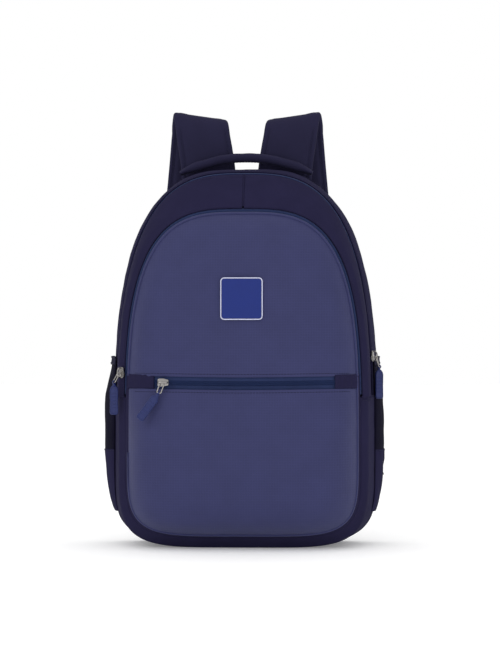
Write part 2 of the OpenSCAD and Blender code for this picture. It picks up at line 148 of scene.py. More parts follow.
def smooth_path(points, step):
    """Equal steps along a Catmull-Rom curve through the points."""
    p = [np.array(q, float) for q in points]
    p = [2 * p[0] - p[1]] + p + [2 * p[-1] - p[-2]]
    out = []
    for i in range(1, len(p) - 2):
        for k in range(12):
            t = k / 12
            out.append(
                0.5
                * (
                    2 * p[i]
                    + (p[i + 1] - p[i - 1]) * t
                    + (2 * p[i - 1] - 5 * p[i] + 4 * p[i + 1] - p[i + 2]) * t * t
                    + (3 * p[i] - p[i - 1] - 3 * p[i + 1] + p[i + 2]) * t**3
                )
            )
    out.append(p[-2])
    return evenly(out, step)


def mirrored(points, left):
    p = np.array(points, float)
    return p * np.array([-1, 1, 1]) if left else p


def radial(p):
    return (p[0], 0, p[2] - 170)


def forward(p):
    return (0, -1, 0)


def backward(p):
    return (0, 1, 0)


def make(name, verts, faces, material, uv=None, outward=None, smooth=True):
    """Mesh object from millimetre points. Faces are turned so that they look along outward(point)."""
    mesh = bpy.data.meshes.new(name)
    mesh.from_pydata(
        [tuple(float(c) * MM for c in v) for v in verts], [], [tuple(int(k) for k in f) for f in faces]
    )
    obj = bpy.data.objects.new(name, mesh)
    bpy.context.scene.collection.objects.link(obj)
    if outward is not None:
        total = sum(f.normal.dot(Vector(outward(f.center / MM))) * f.area for f in mesh.polygons)
        if total < 0:
            mesh.flip_normals()
    if uv is not None:
        layer = mesh.uv_layers.new(name="UVMap")
        uv = np.array(uv, float) / UV_MM
        index = np.array([l.vertex_index for l in mesh.loops])
        layer.data.foreach_set("uv", uv[index].astype(np.float32).ravel())
    if smooth:
        mesh.polygons.foreach_set("use_smooth", [True] * len(mesh.polygons))
    mesh.materials.append(material)
    mesh.update()
    return obj


def settle(obj):
    """Makes the object's modifiers part of its mesh."""
    graph = bpy.context.evaluated_depsgraph_get()
    mesh = bpy.data.meshes.new_from_object(obj.evaluated_get(graph), depsgraph=graph)
    obj.modifiers.clear()
    obj.data = mesh
    return obj


def thicken(obj, thick):
    m = obj.modifiers.new("thickness", "SOLIDIFY")
    m.thickness = thick * MM
    m.offset = -1
    m.use_even_offset = False
    return settle(obj)


def soften(obj, width, segments=2):
    m = obj.modifiers.new("soft edges", "BEVEL")
    m.width = width * MM
    m.segments = segments
    m.limit_method = "ANGLE"
    m.angle_limit = math.radians(35)
    return settle(obj)


def face_outwards(obj):
    """Turns the faces of a closed mesh outwards."""
    bm = bmesh.new()
    bm.from_mesh(obj.data)
    bmesh.ops.recalc_face_normals(bm, faces=bm.faces)
    bm.to_mesh(obj.data)
    bm.free()
    return obj


def grid_faces(nu, nv, closed_u=False, closed_v=False):
    faces = []
    for i in range(nu if closed_u else nu - 1):
        for j in range(nv if closed_v else nv - 1):
            a, b = i * nv + j, i * nv + (j + 1) % nv
            c, d = (i + 1) % nu * nv + (j + 1) % nv, (i + 1) % nu * nv + j
            faces.append((a, b, c, d))
    return faces


def grid_normals(grid):
    du = np.gradient(grid, axis=0)
    dv = np.gradient(grid, axis=1)
    n = np.cross(du, dv)
    return n / np.maximum(np.linalg.norm(n, axis=2, keepdims=True), 1e-9)


def cloth(name, grid, material, outward, push=None, thick=1.3):
    """Thick cloth over a grid of points, moved out by push(share along, share across, point)."""
    grid = np.array(grid, float)
    nu, nv = grid.shape[:2]
    n = grid_normals(grid)
    middle = grid[nu // 2, nv // 2]
    if np.dot(n[nu // 2, nv // 2], np.array(outward(middle), float)) < 0:
        n = -n
    lengths_u = np.linalg.norm(np.diff(grid[:, nv // 2], axis=0), axis=1)
    lengths_v = np.linalg.norm(np.diff(grid[nu // 2], axis=0), axis=1)
    u = np.concatenate([[0], np.cumsum(lengths_u)])
    v = np.concatenate([[0], np.cumsum(lengths_v)])
    uv = [(u[i], v[j]) for i in range(nu) for j in range(nv)]
    if push is not None:
        for i in range(nu):
            for j in range(nv):
                grid[i, j] += n[i, j] * push(i / (nu - 1), j / (nv - 1), grid[i, j])
    obj = make(name, grid.reshape(-1, 3), grid_faces(nu, nv), material, uv, outward)
    return thicken(obj, thick)


def loft(name, rings, material, closed=False):
    """Closed surface through rings of points, with flat ends unless the path is closed."""
    rings = np.array(rings, float)
    nu, nv = rings.shape[:2]
    faces = grid_faces(nu, nv, closed_u=closed, closed_v=True)
    if not closed:
        faces += [tuple(range(nv))[::-1], tuple((nu - 1) * nv + k for k in range(nv))]
    along = np.concatenate([[0], np.cumsum(np.linalg.norm(np.diff(rings.mean(1), axis=0), axis=1))])
    around = np.concatenate([[0], np.cumsum(np.linalg.norm(np.diff(rings[nu // 2], axis=0), axis=1))])
    uv = [(along[i], around[j]) for i in range(nu) for j in range(nv)]
    obj = make(name, rings.reshape(-1, 3), faces, material, uv)
    return face_outwards(obj)


def frames_along(path, hint):
    """Tangent, across and out vectors at each point of a path; out stays near hint."""
    path = np.array(path, float)
    t = np.gradient(path, axis=0)
    t /= np.linalg.norm(t, axis=1, keepdims=True)
    hint = np.broadcast_to(np.array(hint, float), path.shape)
    out = hint - (hint * t).sum(1, keepdims=True) * t
    out /= np.maximum(np.linalg.norm(out, axis=1, keepdims=True), 1e-9)
    return t, np.cross(t, out), out


def tube(name, path, radius, material, sides, hint, closed=False, flat=1.0):
    path = np.array(path, float)
    if closed:
        wrapped = np.concatenate([path[-2:], path, path[:2]])
        t, a, o = (f[2:-2] for f in frames_along(wrapped, hint))
    else:
        t, a, o = frames_along(path, hint)
    angles = np.arange(sides) * 2 * math.pi / sides
    radii = np.broadcast_to(np.array(radius, float), (len(path),))
    rings = [
        [path[i] + radii[i] * (math.cos(g) * a[i] + math.sin(g) * flat * o[i]) for g in angles]
        for i in range(len(path))
    ]
    return loft(name, rings, material, closed)


def beads(name, places, shape, faces, material):
    """One mesh of many small pieces: shape is one piece, places are (point, x axis, y axis, z axis)."""
    shape = np.array(shape, float)
    verts, out_faces = [], []
    for k, (p, x, y, z) in enumerate(places):
        verts.extend(np.array(p) + shape[:, :1] * x + shape[:, 1:2] * y + shape[:, 2:] * z)
        out_faces.extend(tuple(len(shape) * k + i for i in f) for f in faces)
    return make(name, verts, out_faces, material)


LIFT = 0.2
TOOTH_PITCH = 1.35

STITCH = [
    (s, math.cos(a) * r, math.sin(a) * r * 0.7)
    for s, r in ((-1.3, 0.1), (-0.9, 0.32), (0.9, 0.32), (1.3, 0.1))
    for a in (0, math.pi / 2, math.pi, 3 * math.pi / 2)
]
STITCH_FACES = grid_faces(4, 4, closed_v=True) + [(3, 2, 1, 0), (12, 13, 14, 15)]


def stitches(name, path, hint, material, pitch=3.6):
    """A row of thread stitches along a path, LIFT off the cloth on the side that hint points to."""
    p = evenly(path, pitch)
    if callable(hint):
        hint = [hint(q) for q in p]
    t, a, o = frames_along(p, hint)
    places = [(p[i] + o[i] * LIFT, t[i], a[i], o[i]) for i in range(len(p))]
    return beads(name, places, STITCH, STITCH_FACES, material)


TOOTH = [
    (sx * 0.42, y, z)
    for y, z in ((-0.35, 0.0), (2.6, 0.0), (2.2, 0.95), (0.1, 1.05))
    for sx in (-1, 1)
]
TOOTH_FACES = [(0, 1, 3, 2), (2, 3, 5, 4), (4, 5, 7, 6), (6, 7, 1, 0), (0, 2, 4, 6), (7, 5, 3, 1)]


def coil(name, path, hint, side, material):
    """One side of a zip's coil along a path, its teeth TOOTH_PITCH apart."""
    p = evenly(path, TOOTH_PITCH)
    if callable(hint):
        hint = [hint(q) for q in p]
    t, a, o = frames_along(p, hint)
    shift = TOOTH_PITCH / 2 if side > 0 else 0
    places = [(p[i] + o[i] * LIFT + t[i] * shift, t[i], a[i] * side, o[i]) for i in range(len(p) - 1)]
    return beads(name, places, TOOTH, TOOTH_FACES, material)


def prism(name, outline, low, high, material, bevel=0.0):
    """Straight extrusion of an XZ outline between two depths."""
    n = len(outline)
    verts = [(x, low, z) for x, z in outline] + [(x, high, z) for x, z in outline]
    faces = [(i, (i + 1) % n, n + (i + 1) % n, n + i) for i in range(n)]
    faces += [tuple(range(n))[::-1], tuple(range(n, 2 * n))]
    obj = make(name, verts, faces, material, uv=[(v[0], v[2]) for v in verts], smooth=True)
    face_outwards(obj)
    if bevel:
        soften(obj, bevel, 3)
    flatten_shading(obj)
    return obj


def flatten_shading(obj, angle=40):
    """Keeps sharp edges sharp on a smooth-shaded mesh."""
    bm = bmesh.new()
    bm.from_mesh(obj.data)
    for e in bm.edges:
        e.smooth = not (len(e.link_faces) == 2 and e.calc_face_angle(0) > math.radians(angle))
    bm.to_mesh(obj.data)
    bm.free()


def rounded_rect(w, h, r, steps=6, cx=0.0, cz=0.0):
    points = []
    for k, (sx, sz) in enumerate(((1, 1), (-1, 1), (-1, -1), (1, -1))):
        for i in range(steps + 1):
            a = math.radians(90 * k + 90 * i / steps)
            points.append((cx + sx * (w / 2 - r) + r * math.cos(a), cz + sz * (h / 2 - r) + r * math.sin(a)))
    return points


SIM_FRAMES = 20
SIM_PRESSURE = 4.0


def swell(obj, free, cap, voxel):
    """Cloth simulation of a padded piece under pressure, on a remeshed copy whose swelling it takes over.
    free(point) is 0 where a seam holds the cloth and 1 where it may move by cap millimetres."""
    copy = obj.copy()
    copy.data = obj.data.copy()
    bpy.context.scene.collection.objects.link(copy)
    remesh = copy.modifiers.new("even cloth", "REMESH")
    remesh.mode = "VOXEL"
    remesh.voxel_size = voxel * MM
    settle(copy)
    rest = [v.co.copy() for v in copy.data.vertices]
    group = copy.vertex_groups.new(name="seams")
    for k, p in enumerate(rest):
        group.add([k], 1 - free(p / MM), "REPLACE")
    sim = copy.modifiers.new("cloth", "CLOTH")
    sim.settings.quality = 6
    sim.settings.mass = 0.15
    sim.settings.tension_stiffness = sim.settings.compression_stiffness = 12
    sim.settings.shear_stiffness = 5
    sim.settings.bending_stiffness = 0.3
    sim.settings.use_pressure = True
    sim.settings.uniform_pressure_force = SIM_PRESSURE
    sim.settings.effector_weights.gravity = 0
    sim.settings.vertex_group_mass = "seams"
    sim.collision_settings.use_collision = False
    sim.collision_settings.use_self_collision = False
    sim.point_cache.frame_start = 1
    sim.point_cache.frame_end = SIM_FRAMES
    for step in range(1, SIM_FRAMES + 1):
        bpy.context.scene.frame_set(step)
    settle(copy)
    moves = [v.co - rest[k] for k, v in enumerate(copy.data.vertices)]
    tree = KDTree(len(rest))
    for k, p in enumerate(rest):
        tree.insert(p, k)
    tree.balance()
    for v in obj.data.vertices:
        near = [(1 / (distance + MM), k) for _, k, distance in tree.find_n(v.co, 8)]
        move = sum((moves[k] * weight for weight, k in near), Vector()) / sum(weight for weight, _ in near)
        limit = cap * MM * free(v.co / MM)
        if move.length > limit:
            move *= limit / move.length
        v.co += move
    bpy.data.objects.remove(copy)
    bpy.context.scene.frame_set(1)


def join(objs, name):
    """Several meshes as one object, materials kept."""
    bpy.ops.object.select_all(action="DESELECT")
    for o in objs:
        o.select_set(True)
    bpy.context.view_layer.objects.active = objs[0]
    bpy.ops.object.join()
    objs[0].name = name
    objs[0].data.name = name
    return objs[0]


def place(obj, matrix):
    """Moves a mesh by a matrix whose translation is in millimetres."""
    m = matrix.copy()
    m.translation = m.translation * MM
    obj.data.transform(m)
    return obj


# ---- materials


class Nodes:
    """Short way to write a material's nodes."""

    def __init__(self, name):
        self.material = bpy.data.materials.new(name)
        self.material.use_nodes = True
        self.tree = self.material.node_tree
        self.bsdf = self.tree.nodes["Principled BSDF"]

    def add(self, kind, **settings):
        node = self.tree.nodes.new(kind)
        for key, value in settings.items():
            setattr(node, key, value)
        return node

    def link(self, a, b):
        self.tree.links.new(a, b)

    def surface(self, **values):
        """Constants of the shader, by input name with _ for a space."""
        for name, value in values.items():
            self.bsdf.inputs[name.replace("_", " ")].default_value = value

    def math(self, operation, a, b=None, c=None):
        node = self.add("ShaderNodeMath", operation=operation)
        for k, value in enumerate((a, b, c)):
            if value is None:
                continue
            if isinstance(value, (int, float)):
                node.inputs[k].default_value = value
            else:
                self.link(value, node.inputs[k])
        return node.outputs[0]

    def noise(self, scale, detail, rough=0.5):
        node = self.add("ShaderNodeTexNoise")
        node.inputs["Scale"].default_value = scale
        node.inputs["Detail"].default_value = detail
        node.inputs["Roughness"].default_value = rough
        self.link(self.add("ShaderNodeTexCoord").outputs["Object"], node.inputs["Vector"])
        return node.outputs["Fac"]

    def cloth_mm(self):
        """The cloth's own coordinates in millimetres."""
        split = self.add("ShaderNodeSeparateXYZ")
        self.link(self.add("ShaderNodeTexCoord").outputs["UV"], split.inputs[0])
        return [self.math("MULTIPLY", split.outputs[axis], UV_MM) for axis in "XY"]

    def bump(self, height, strength, distance, normal=None):
        node = self.add("ShaderNodeBump")
        node.inputs["Strength"].default_value = strength
        node.inputs["Distance"].default_value = distance * MM
        self.link(height, node.inputs["Height"])
        if normal is not None:
            self.link(normal, node.inputs["Normal"])
        return node.outputs["Normal"]

    def tint(self, colour, amount, low, high):
        """Colour times a factor that runs from low to high with amount."""
        ramp = self.add("ShaderNodeMapRange")
        ramp.inputs["To Min"].default_value = low
        ramp.inputs["To Max"].default_value = high
        self.link(amount, ramp.inputs["Value"])
        mix = self.add("ShaderNodeVectorMath", operation="SCALE")
        if isinstance(colour, tuple):
            mix.inputs[0].default_value = colour[:3]
        else:
            self.link(colour, mix.inputs[0])
        self.link(ramp.outputs[0], mix.inputs["Scale"])
        return mix.outputs[0]


def ripple(m, value, pitch):
    """0 to 1 wave of that pitch in millimetres."""
    return m.math("MULTIPLY_ADD", m.math("SINE", m.math("MULTIPLY", value, 2 * math.pi / pitch)), 0.5, 0.5)


def thin_lines(m, value, pitch, width):
    """1 on thin lines of that pitch and width in millimetres, else 0."""
    near = m.math("PINGPONG", value, pitch / 2)
    return m.math("LESS_THAN", near, width / 2)


def fabric(name, colour, weave, rough, sheen, ripstop, mottle, wrinkle, spec):
    """Woven cloth: fine weave, optional ripstop squares, uneven tint and soft creases."""
    m = Nodes(name)
    u, v = m.cloth_mm()
    woven = m.math("MULTIPLY", ripple(m, u, weave * 2), ripple(m, v, weave * 2))
    over = [ripple(m, m.math("ADD", axis, weave), weave * 2) for axis in (u, v)]
    over = m.math("MULTIPLY", *over)
    woven = m.math("MAXIMUM", woven, over)
    cloud = m.noise(38, 4, 0.6)
    tinted = m.tint(colour, cloud, 1 - mottle, 1 + mottle)
    tinted = m.tint(tinted, woven, 0.9, 1.06)
    height = m.math("MULTIPLY", woven, 0.5)
    if ripstop:
        pitch, width = ripstop
        lines = m.math("MAXIMUM", thin_lines(m, u, pitch, width), thin_lines(m, v, pitch, width))
        tinted = m.tint(tinted, lines, 1.0, 1.16)
        height = m.math("ADD", height, m.math("MULTIPLY", lines, 0.5))
    normal = m.bump(m.noise(55, 3, 0.55), wrinkle, 1.2)
    normal = m.bump(height, 0.35, 0.12, normal)
    m.link(normal, m.bsdf.inputs["Normal"])
    m.link(tinted, m.bsdf.inputs["Base Color"])
    m.surface(Roughness=rough, Specular_IOR_Level=spec)
    m.surface(Sheen_Weight=sheen, Sheen_Roughness=0.45, Sheen_Tint=(0.75, 0.78, 1.0, 1.0))
    return m.material


def netting(name, colour, hole):
    """Knitted open mesh drawn as a solid raised net, with rows of holes painted dark as shade for the inside
    seen through them.
    """
    m = Nodes(name)
    u, v = m.cloth_mm()
    a = m.math("MULTIPLY", ripple(m, u, hole), ripple(m, v, hole))
    b = m.math(
        "MULTIPLY", ripple(m, m.math("ADD", u, hole / 2), hole), ripple(m, m.math("ADD", v, hole / 2), hole)
    )
    holes = m.math("MAXIMUM", a, b)
    shaded_holes = m.math("GREATER_THAN", holes, 0.62)
    # Painted shade: the holes are darkened to a quarter of the net's colour, standing in for the shaded
    # inside behind them.
    tinted = m.tint(m.tint(colour, m.noise(40, 3), 0.85, 1.15), shaded_holes, 1.25, 0.25)
    m.link(tinted, m.bsdf.inputs["Base Color"])
    m.link(m.bump(holes, 0.7, -0.5), m.bsdf.inputs["Normal"])
    m.surface(Roughness=0.95, Specular_IOR_Level=0.05, Sheen_Weight=0.02)
    return m.material


def ribbed(name, colour, rib, rough):
    """Webbing or zip tape: fine ribs and a herringbone of threads."""
    m = Nodes(name)
    u, v = m.cloth_mm()
    zig = m.math("ADD", u, m.math("PINGPONG", v, rib))
    threads = ripple(m, zig, 0.9)
    ribs = ripple(m, v, rib * 2)
    tinted = m.tint(m.tint(colour, m.noise(60, 2), 0.88, 1.12), threads, 0.8, 1.2)
    m.link(tinted, m.bsdf.inputs["Base Color"])
    m.link(m.bump(m.math("ADD", m.math("MULTIPLY", ribs, 0.6), threads), 0.5, 0.2), m.bsdf.inputs["Normal"])
    m.surface(Roughness=rough, Specular_IOR_Level=0.12, Sheen_Weight=0.04)
    return m.material


def moulded(name, colour, rough, grain, metallic=0.0, spec=0.5):
    """Moulded, plated or spun material: fine grain and uneven roughness."""
    m = Nodes(name)
    spots = m.noise(900, 3, 0.6)
    wear = m.noise(120, 4, 0.6)
    m.link(m.tint(colour, wear, 0.93, 1.07), m.bsdf.inputs["Base Color"])
    ramp = m.add("ShaderNodeMapRange")
    ramp.inputs["To Min"].default_value = rough * 0.8
    ramp.inputs["To Max"].default_value = min(1, rough * 1.25)
    m.link(wear, ramp.inputs["Value"])
    m.link(ramp.outputs[0], m.bsdf.inputs["Roughness"])
    m.link(m.bump(spots, grain, 0.15), m.bsdf.inputs["Normal"])
    m.surface(Metallic=metallic, Specular_IOR_Level=spec)
    return m.material


LIGHT = fabric("light_ripstop", (0.034, 0.037, 0.108), 0.5, 0.6, 0.06, (3.0, 0.42), 0.12, 0.4, 0.16)
DARK = fabric("dark_weave", (0.0182, 0.0163, 0.047), 0.6, 0.95, 0.0, None, 0.16, 0.45, 0.05)
STRAP = fabric("strap_weave", (0.0185, 0.017, 0.0445), 0.6, 0.85, 0.02, None, 0.14, 0.3, 0.08)
LINING = fabric("lining_weave", (0.012, 0.012, 0.03), 0.4, 0.8, 0.03, None, 0.1, 0.4, 0.12)
MESH = netting("pocket_net", (0.0055, 0.0048, 0.0155), 2.2)
PAD_MESH = netting("pad_net", (0.014, 0.013, 0.03), 3.4)
TAPE = ribbed("zip_tape_weave", (0.021, 0.033, 0.098), 2.0, 0.75)
WEB = ribbed("webbing_weave", (0.0115, 0.0105, 0.031), 2.2, 0.85)
THREAD = moulded("thread", (0.022, 0.022, 0.055), 0.8, 0.05, spec=0.1)
COIL = moulded("zip_coil", (0.018, 0.03, 0.092), 0.75, 0.05, spec=0.06)
TAB = moulded("tab_rubber", (0.011, 0.019, 0.105), 0.4, 0.12, spec=0.35)
BADGE = moulded("badge_face", (0.0175, 0.031, 0.172), 0.6, 0.25, spec=0.12)
BADGE_EDGE = moulded("badge_edge", (0.62, 0.63, 0.8), 0.55, 0.1, spec=0.2)
METAL = moulded("plated_metal", (0.31, 0.297, 0.285), 0.17, 0.05, metallic=1.0)
PLASTIC = moulded("black_acetal", (0.008, 0.008, 0.012), 0.45, 0.2)
BOARD = moulded("base_board", (0.01, 0.01, 0.013), 0.7, 0.3)


def finish_piece(obj, slot, *nodes, body):
    """Hides the CAD nodes that the piece stands for; the finish given as slot is not used. It rides on body
    where body is a name;
    where body is (first, second, start of the bend, end of the bend), its transform is only baked in and it
    is not bent."""
    if nodes:
        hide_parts(*nodes)
    if isinstance(body, str):
        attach(obj, body)
    else:
        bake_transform(obj)
    return obj


# Where the front half's cloth bends away from the bag, and where the flap bends away from the front half
HALF = ("bag", "front_half", (0, 0, SEAM_Z + 2), (0, 0, 262))
FLAP = ("front_half", "front_flap", (0, 0, FOLD_Z), (0, 0, FOLD_Z + 16))

# ---- front panels


def front_rho(x, z):
    """0 at the middle of the front, 1 on its outline."""
    up = z >= SHOULDER_Z
    n = power(PANEL_EDGE_Y, up)
    across = min(1, abs(x) / lookup(PANEL_EDGE_Y, HALF_W))
    along = min(1, abs(z - SHOULDER_Z) / reach(PANEL_EDGE_Y, up))
    return min(1, (across**n + along**n) ** (1 / n))


def front_depth(x, z, lower):
    rho = front_rho(x, z)
    y = PANEL_EDGE_Y + (1 - rho**8) * (FRONT_Y - PANEL_EDGE_Y)
    if lower:
        share = min(1, max(0, (z - 17) / (ZIP_Z - 17)))
        y -= math.sin(math.pi * share) ** 0.8 * 12 * (1 - min(1, abs(x) / 136) ** 3)
    return y


def front_wrinkle(x, z, seam_z):
    """Soft creases, with puckers along the zip's seam and round the edge."""
    rho = front_rho(x, z)
    edge = (1 - rho) * 130
    seam = abs(z - seam_z)
    creases = crinkle((x, z, 0), 85, 2.6) + crinkle((x * 0.6, z * 1.4, 60), 32, 1.0)
    creases += crinkle((x * 0.5, z * 2, 30), 14, 0.35)
    creases *= min(1, 0.25 + seam / 25)
    gathers = crinkle((x, 0, 5), 10, 0.9) + crinkle((x, 0, 9), 26, 1.3)
    puckers = math.exp(-seam / 30) * gathers * min(1, seam / 9)
    angle = math.degrees(math.atan2(z - SHOULDER_Z, x))
    puckers += math.exp(-edge / 9) * crinkle((angle * 2.2, 3, 1), 9, 1.1)
    return (creases * min(1, edge / 14) + puckers) * min(1, edge / 3)


def sag(x):
    """The zip hangs a little lower in the middle of the front."""
    return -1.4 * math.cos(math.pi * x / 264) ** 2


def closed_outline(loop, hem_z):
    """XZ outline of a front panel: an open loop of points, closed by the sagging hem at hem_z."""
    edge = loop[0][0]
    flat = [(p[0], 0, p[2]) for p in loop]
    flat += [(x, 0, hem_z + sag(x)) for x in np.linspace(-edge, edge, 90)[1:-1]]
    dense = evenly(flat + flat[:1], 1)[:-1]
    return dense[:: max(1, int(len(dense) / 300))][:, [0, 2]]


def outline_above(z):
    """Outline of the front above a height."""
    a = angle_at(PANEL_EDGE_Y, z)
    arch = [edge_point(PANEL_EDGE_Y, a + (180 - 2 * a) * ease(i / 200)) for i in range(201)]
    return closed_outline(arch, z)


def outline_below(z):
    """Outline of the front below a height."""
    a = angle_at(PANEL_EDGE_Y, z)
    right = [edge_point(PANEL_EDGE_Y, a + (-90 - a) * i / 160) for i in range(161)]
    return closed_outline(right + [(-p[0], p[1], p[2]) for p in right[::-1]], z)


def panel(name, outline, centre, depth, material, outward, rings=44, thick=1.5, grip=1.6):
    """Cloth panel that fills a closed XZ outline, its depth given by depth(x, z)."""
    outline = np.array(outline, float)
    centre = np.array(centre, float)
    n = len(outline)
    points = [centre]
    for i in range(1, rings + 1):
        r = 1 - (1 - i / rings) ** grip
        points.extend(centre + r * (outline - centre))
    verts = [(x, depth(x, z), z) for x, z in points]
    faces = [(0, 1 + k, 1 + (k + 1) % n) for k in range(n)]
    for i in range(rings - 1):
        a, b = 1 + i * n, 1 + (i + 1) * n
        faces += [(a + k, b + k, b + (k + 1) % n, a + (k + 1) % n) for k in range(n)]
    obj = make(name, verts, faces, material, [(p[0] + 200, p[1]) for p in points], outward)
    return thicken(obj, thick)


def upper_depth(x, z):
    lip = 1.0 * math.exp(-max(0, z - HEM_Z - sag(x)) / 1.6)
    return front_depth(x, z, False) - front_wrinkle(x, z, HEM_Z) + lip - 0.6


def lower_depth(x, z):
    lip = 1.0 * math.exp(-max(0, POCKET_HEM_Z + sag(x) - z) / 1.6)
    return front_depth(x, z, True) - front_wrinkle(x, z, POCKET_HEM_Z) + lip - 0.4


upper = panel("upper_front_cloth", outline_above(HEM_Z), (0, 285), upper_depth, LIGHT, forward)
finish_piece(upper, "light_cloth", "upper_front_panel", body=FLAP)

lower = panel("lower_front_cloth", outline_below(POCKET_HEM_Z), (0, 105), lower_depth, LIGHT, forward)
finish_piece(lower, "light_cloth", "lower_front_panel", body="bag")

# Piping in the seam round the front
start = angle_at(PANEL_EDGE_Y, HEM_Z)
arch = [edge_point(PANEL_EDGE_Y, a, -0.6) for a in np.linspace(start, 180 - start, 240)]
piping = tube("upper_seam_piping", evenly(arch, 2.5), 1.8, LIGHT, 8, (0, -1, 0))
finish_piece(piping, "light_cloth", "upper_piping", body=FLAP)
start = angle_at(PANEL_EDGE_Y, HEM_Z - 1)
foot = [edge_point(PANEL_EDGE_Y, a, -0.4) for a in np.linspace(start, -180 - start, 300)]
piping = tube("lower_seam_piping", evenly(foot, 2.5), 1.6, LIGHT, 8, (0, -1, 0))
finish_piece(piping, "light_cloth", "lower_piping", body="bag")

for word, depth, stitch_z, body in (
    ("upper", upper_depth, HEM_Z + 3.4, FLAP),
    ("lower", lower_depth, POCKET_HEM_Z - 3.4, "bag"),
):
    hem = [(x, depth(x, stitch_z + sag(x)), stitch_z + sag(x)) for x in np.linspace(-124, 124, 125)]
    row = stitches(f"{word}_hem_stitches", hem, (0, -1, 0), THREAD)
    finish_piece(row, "light_cloth", body=body)

# ---- badge

BADGE_Z = 292.5
BADGE_SIZE = 46
BADGE_RIM = 47.6
badge_outline = rounded_rect(BADGE_SIZE, BADGE_SIZE, 3, cz=BADGE_Z)
plate = prism("blank_badge", badge_outline, -68.4, -65.6, BADGE, 0.5)
finish_piece(plate, "badge_face", "badge_plate", body="front_flap")
rim_path = [(x, -67.2, z) for x, z in rounded_rect(BADGE_RIM, BADGE_RIM, 3.8, 8, cz=BADGE_Z)]
rim = tube("badge_rim", rim_path, 0.7, BADGE_EDGE, 8, (0, -1, 0), closed=True, flat=1.5)
finish_piece(rim, "badge_edge", "badge_border", body="front_flap")

# ---- front pocket's zip


def tape_depth(x, z):
    return front_depth(x, z, False) + 2.6


def front_tape(name, z_low, z_high, *nodes):
    grid = [
        [(x, tape_depth(x, z + sag(x)), z + sag(x)) for z in np.linspace(z_low, z_high, 7)]
        for x in np.linspace(-127, 127, 110)
    ]
    obj = cloth(name, grid, TAPE, forward, thick=TAPE_THICK)
    return finish_piece(obj, "zip_tape", *nodes, body="bag")


front_tape("front_zip_lower_tape", 184.5, 195.5, "front_zip_tape")
front_tape("front_zip_top_tape", 195.7, 207.5, "front_zip_upper_tape")
teeth_path = [(x, tape_depth(x, ZIP_Z) - 0.1, ZIP_Z + sag(x)) for x in np.linspace(-111, 111, 120)]
for side, word in ((1, "lower"), (-1, "upper")):
    finish_piece(coil(f"front_zip_coil_{word}", teeth_path, (0, -1, 0), side, COIL), "zip_tape", body="bag")
for side, word in ((-1, "left"), (1, "right")):

    def gather(f, t, p):
        return 2.4 + 0.5 * math.sin(7 * math.pi * f) * math.sin(math.pi * t) + crinkle(p, 4, 0.6)

    grid = [
        [(side * x, tape_depth(x, z), z + sag(x)) for z in np.linspace(188.6, 204.6, 14)]
        for x in np.linspace(101 if side < 0 else 107, 132.6, 36)
    ]
    obj = cloth(f"zip_end_tab_{word}", grid, DARK, forward, gather, 1.2)
    finish_piece(obj, "dark_cloth", f"front_zip_tab_{word}", body="bag")

# ---- skin of the body


def spread(low, high, step):
    return list(np.linspace(low, high, max(2, int(abs(high - low) / step) + 1)))


def arch_grid(ys, z_cut, inset=0.0, start=0.0, end=1.0, rows=180):
    grid = []
    for i in range(rows + 1):
        f = i / rows
        f = ease(2 * f) / 2 if f <= 0.5 else 1 - ease(2 * (1 - f)) / 2
        f = start + (end - start) * f
        row = []
        for y in ys:
            a = angle_at(y, z_cut, inset)
            row.append(edge_point(y, a + f * (180 - 2 * a), inset))
        grid.append(row)
    return grid


def u_angle(y, z_cut, f):
    """Angle on the outline at a share of the way round below z_cut."""
    a = angle_at(y, z_cut)
    g = f * 2 if f <= 0.5 else (1 - f) * 2
    down = a * (1 - g / 0.15) if g < 0.15 else -90 * ease((g - 0.15) / 0.85)
    if f <= 0.5:
        return down
    return 180 - down if down >= 0 else -180 - down


def u_grid(ys, z_cut):
    return [[edge_point(y, u_angle(y, z_cut, i / 200)) for y in ys] for i in range(201)]


def puffed(amount, size=42, crease=0.9, fullness=0.7):
    """Cloth that swells between its two seams, with creases that fade at the seams."""

    def push(f, t, p):
        middle = max(0, math.sin(math.pi * t)) ** fullness
        off_floor = min(1, max(0, (p[2] - 4) / 25))
        soft = crinkle(p, size, crease) + crinkle((p[0], p[1] * 0.4, p[2]), 13, crease * 0.35)
        return (amount * middle + soft * min(1, 4 * middle)) * off_floor

    return push


for word, start, end in (("right", 0.0, 0.4999), ("left", 0.5001, 1.0)):
    depths = spread(CRESCENT_REAR_Y, CRESCENT_FRONT_Y, 1.6)
    grid = arch_grid(depths, SEAM_Z + 0.4, 0, start, end, 120)
    obj = cloth(f"crescent_cloth_{word}", grid, DARK, radial, puffed(2.2))
    finish_piece(obj, "dark_cloth", f"crescent_{word}", body=HALF)

grid = arch_grid(spread(GUSSET_FRONT_Y, REAR_SEAM_Y, 2.6), SEAM_Z + 0.4)
obj = cloth("rear_gusset_cloth", grid, DARK, radial, puffed(1.0, 50, 1.1))
finish_piece(obj, "dark_cloth", "rear_gusset", body="bag")
grid = u_grid(spread(MIDDLE_ZIP_Y, REAR_SEAM_Y, 2.6), SEAM_Z)
obj = cloth("lower_gusset_cloth", grid, DARK, radial, puffed(1.2, 55, 1.0, 0.5))
finish_piece(obj, "dark_cloth", "lower_gusset", body="bag")
obj = cloth("front_edge_cloth", u_grid(spread(PANEL_EDGE_Y, MIDDLE_ZIP_Y, 1.5), FOLD_Z - 0.4), DARK, radial)
finish_piece(obj, "dark_cloth", body="bag")

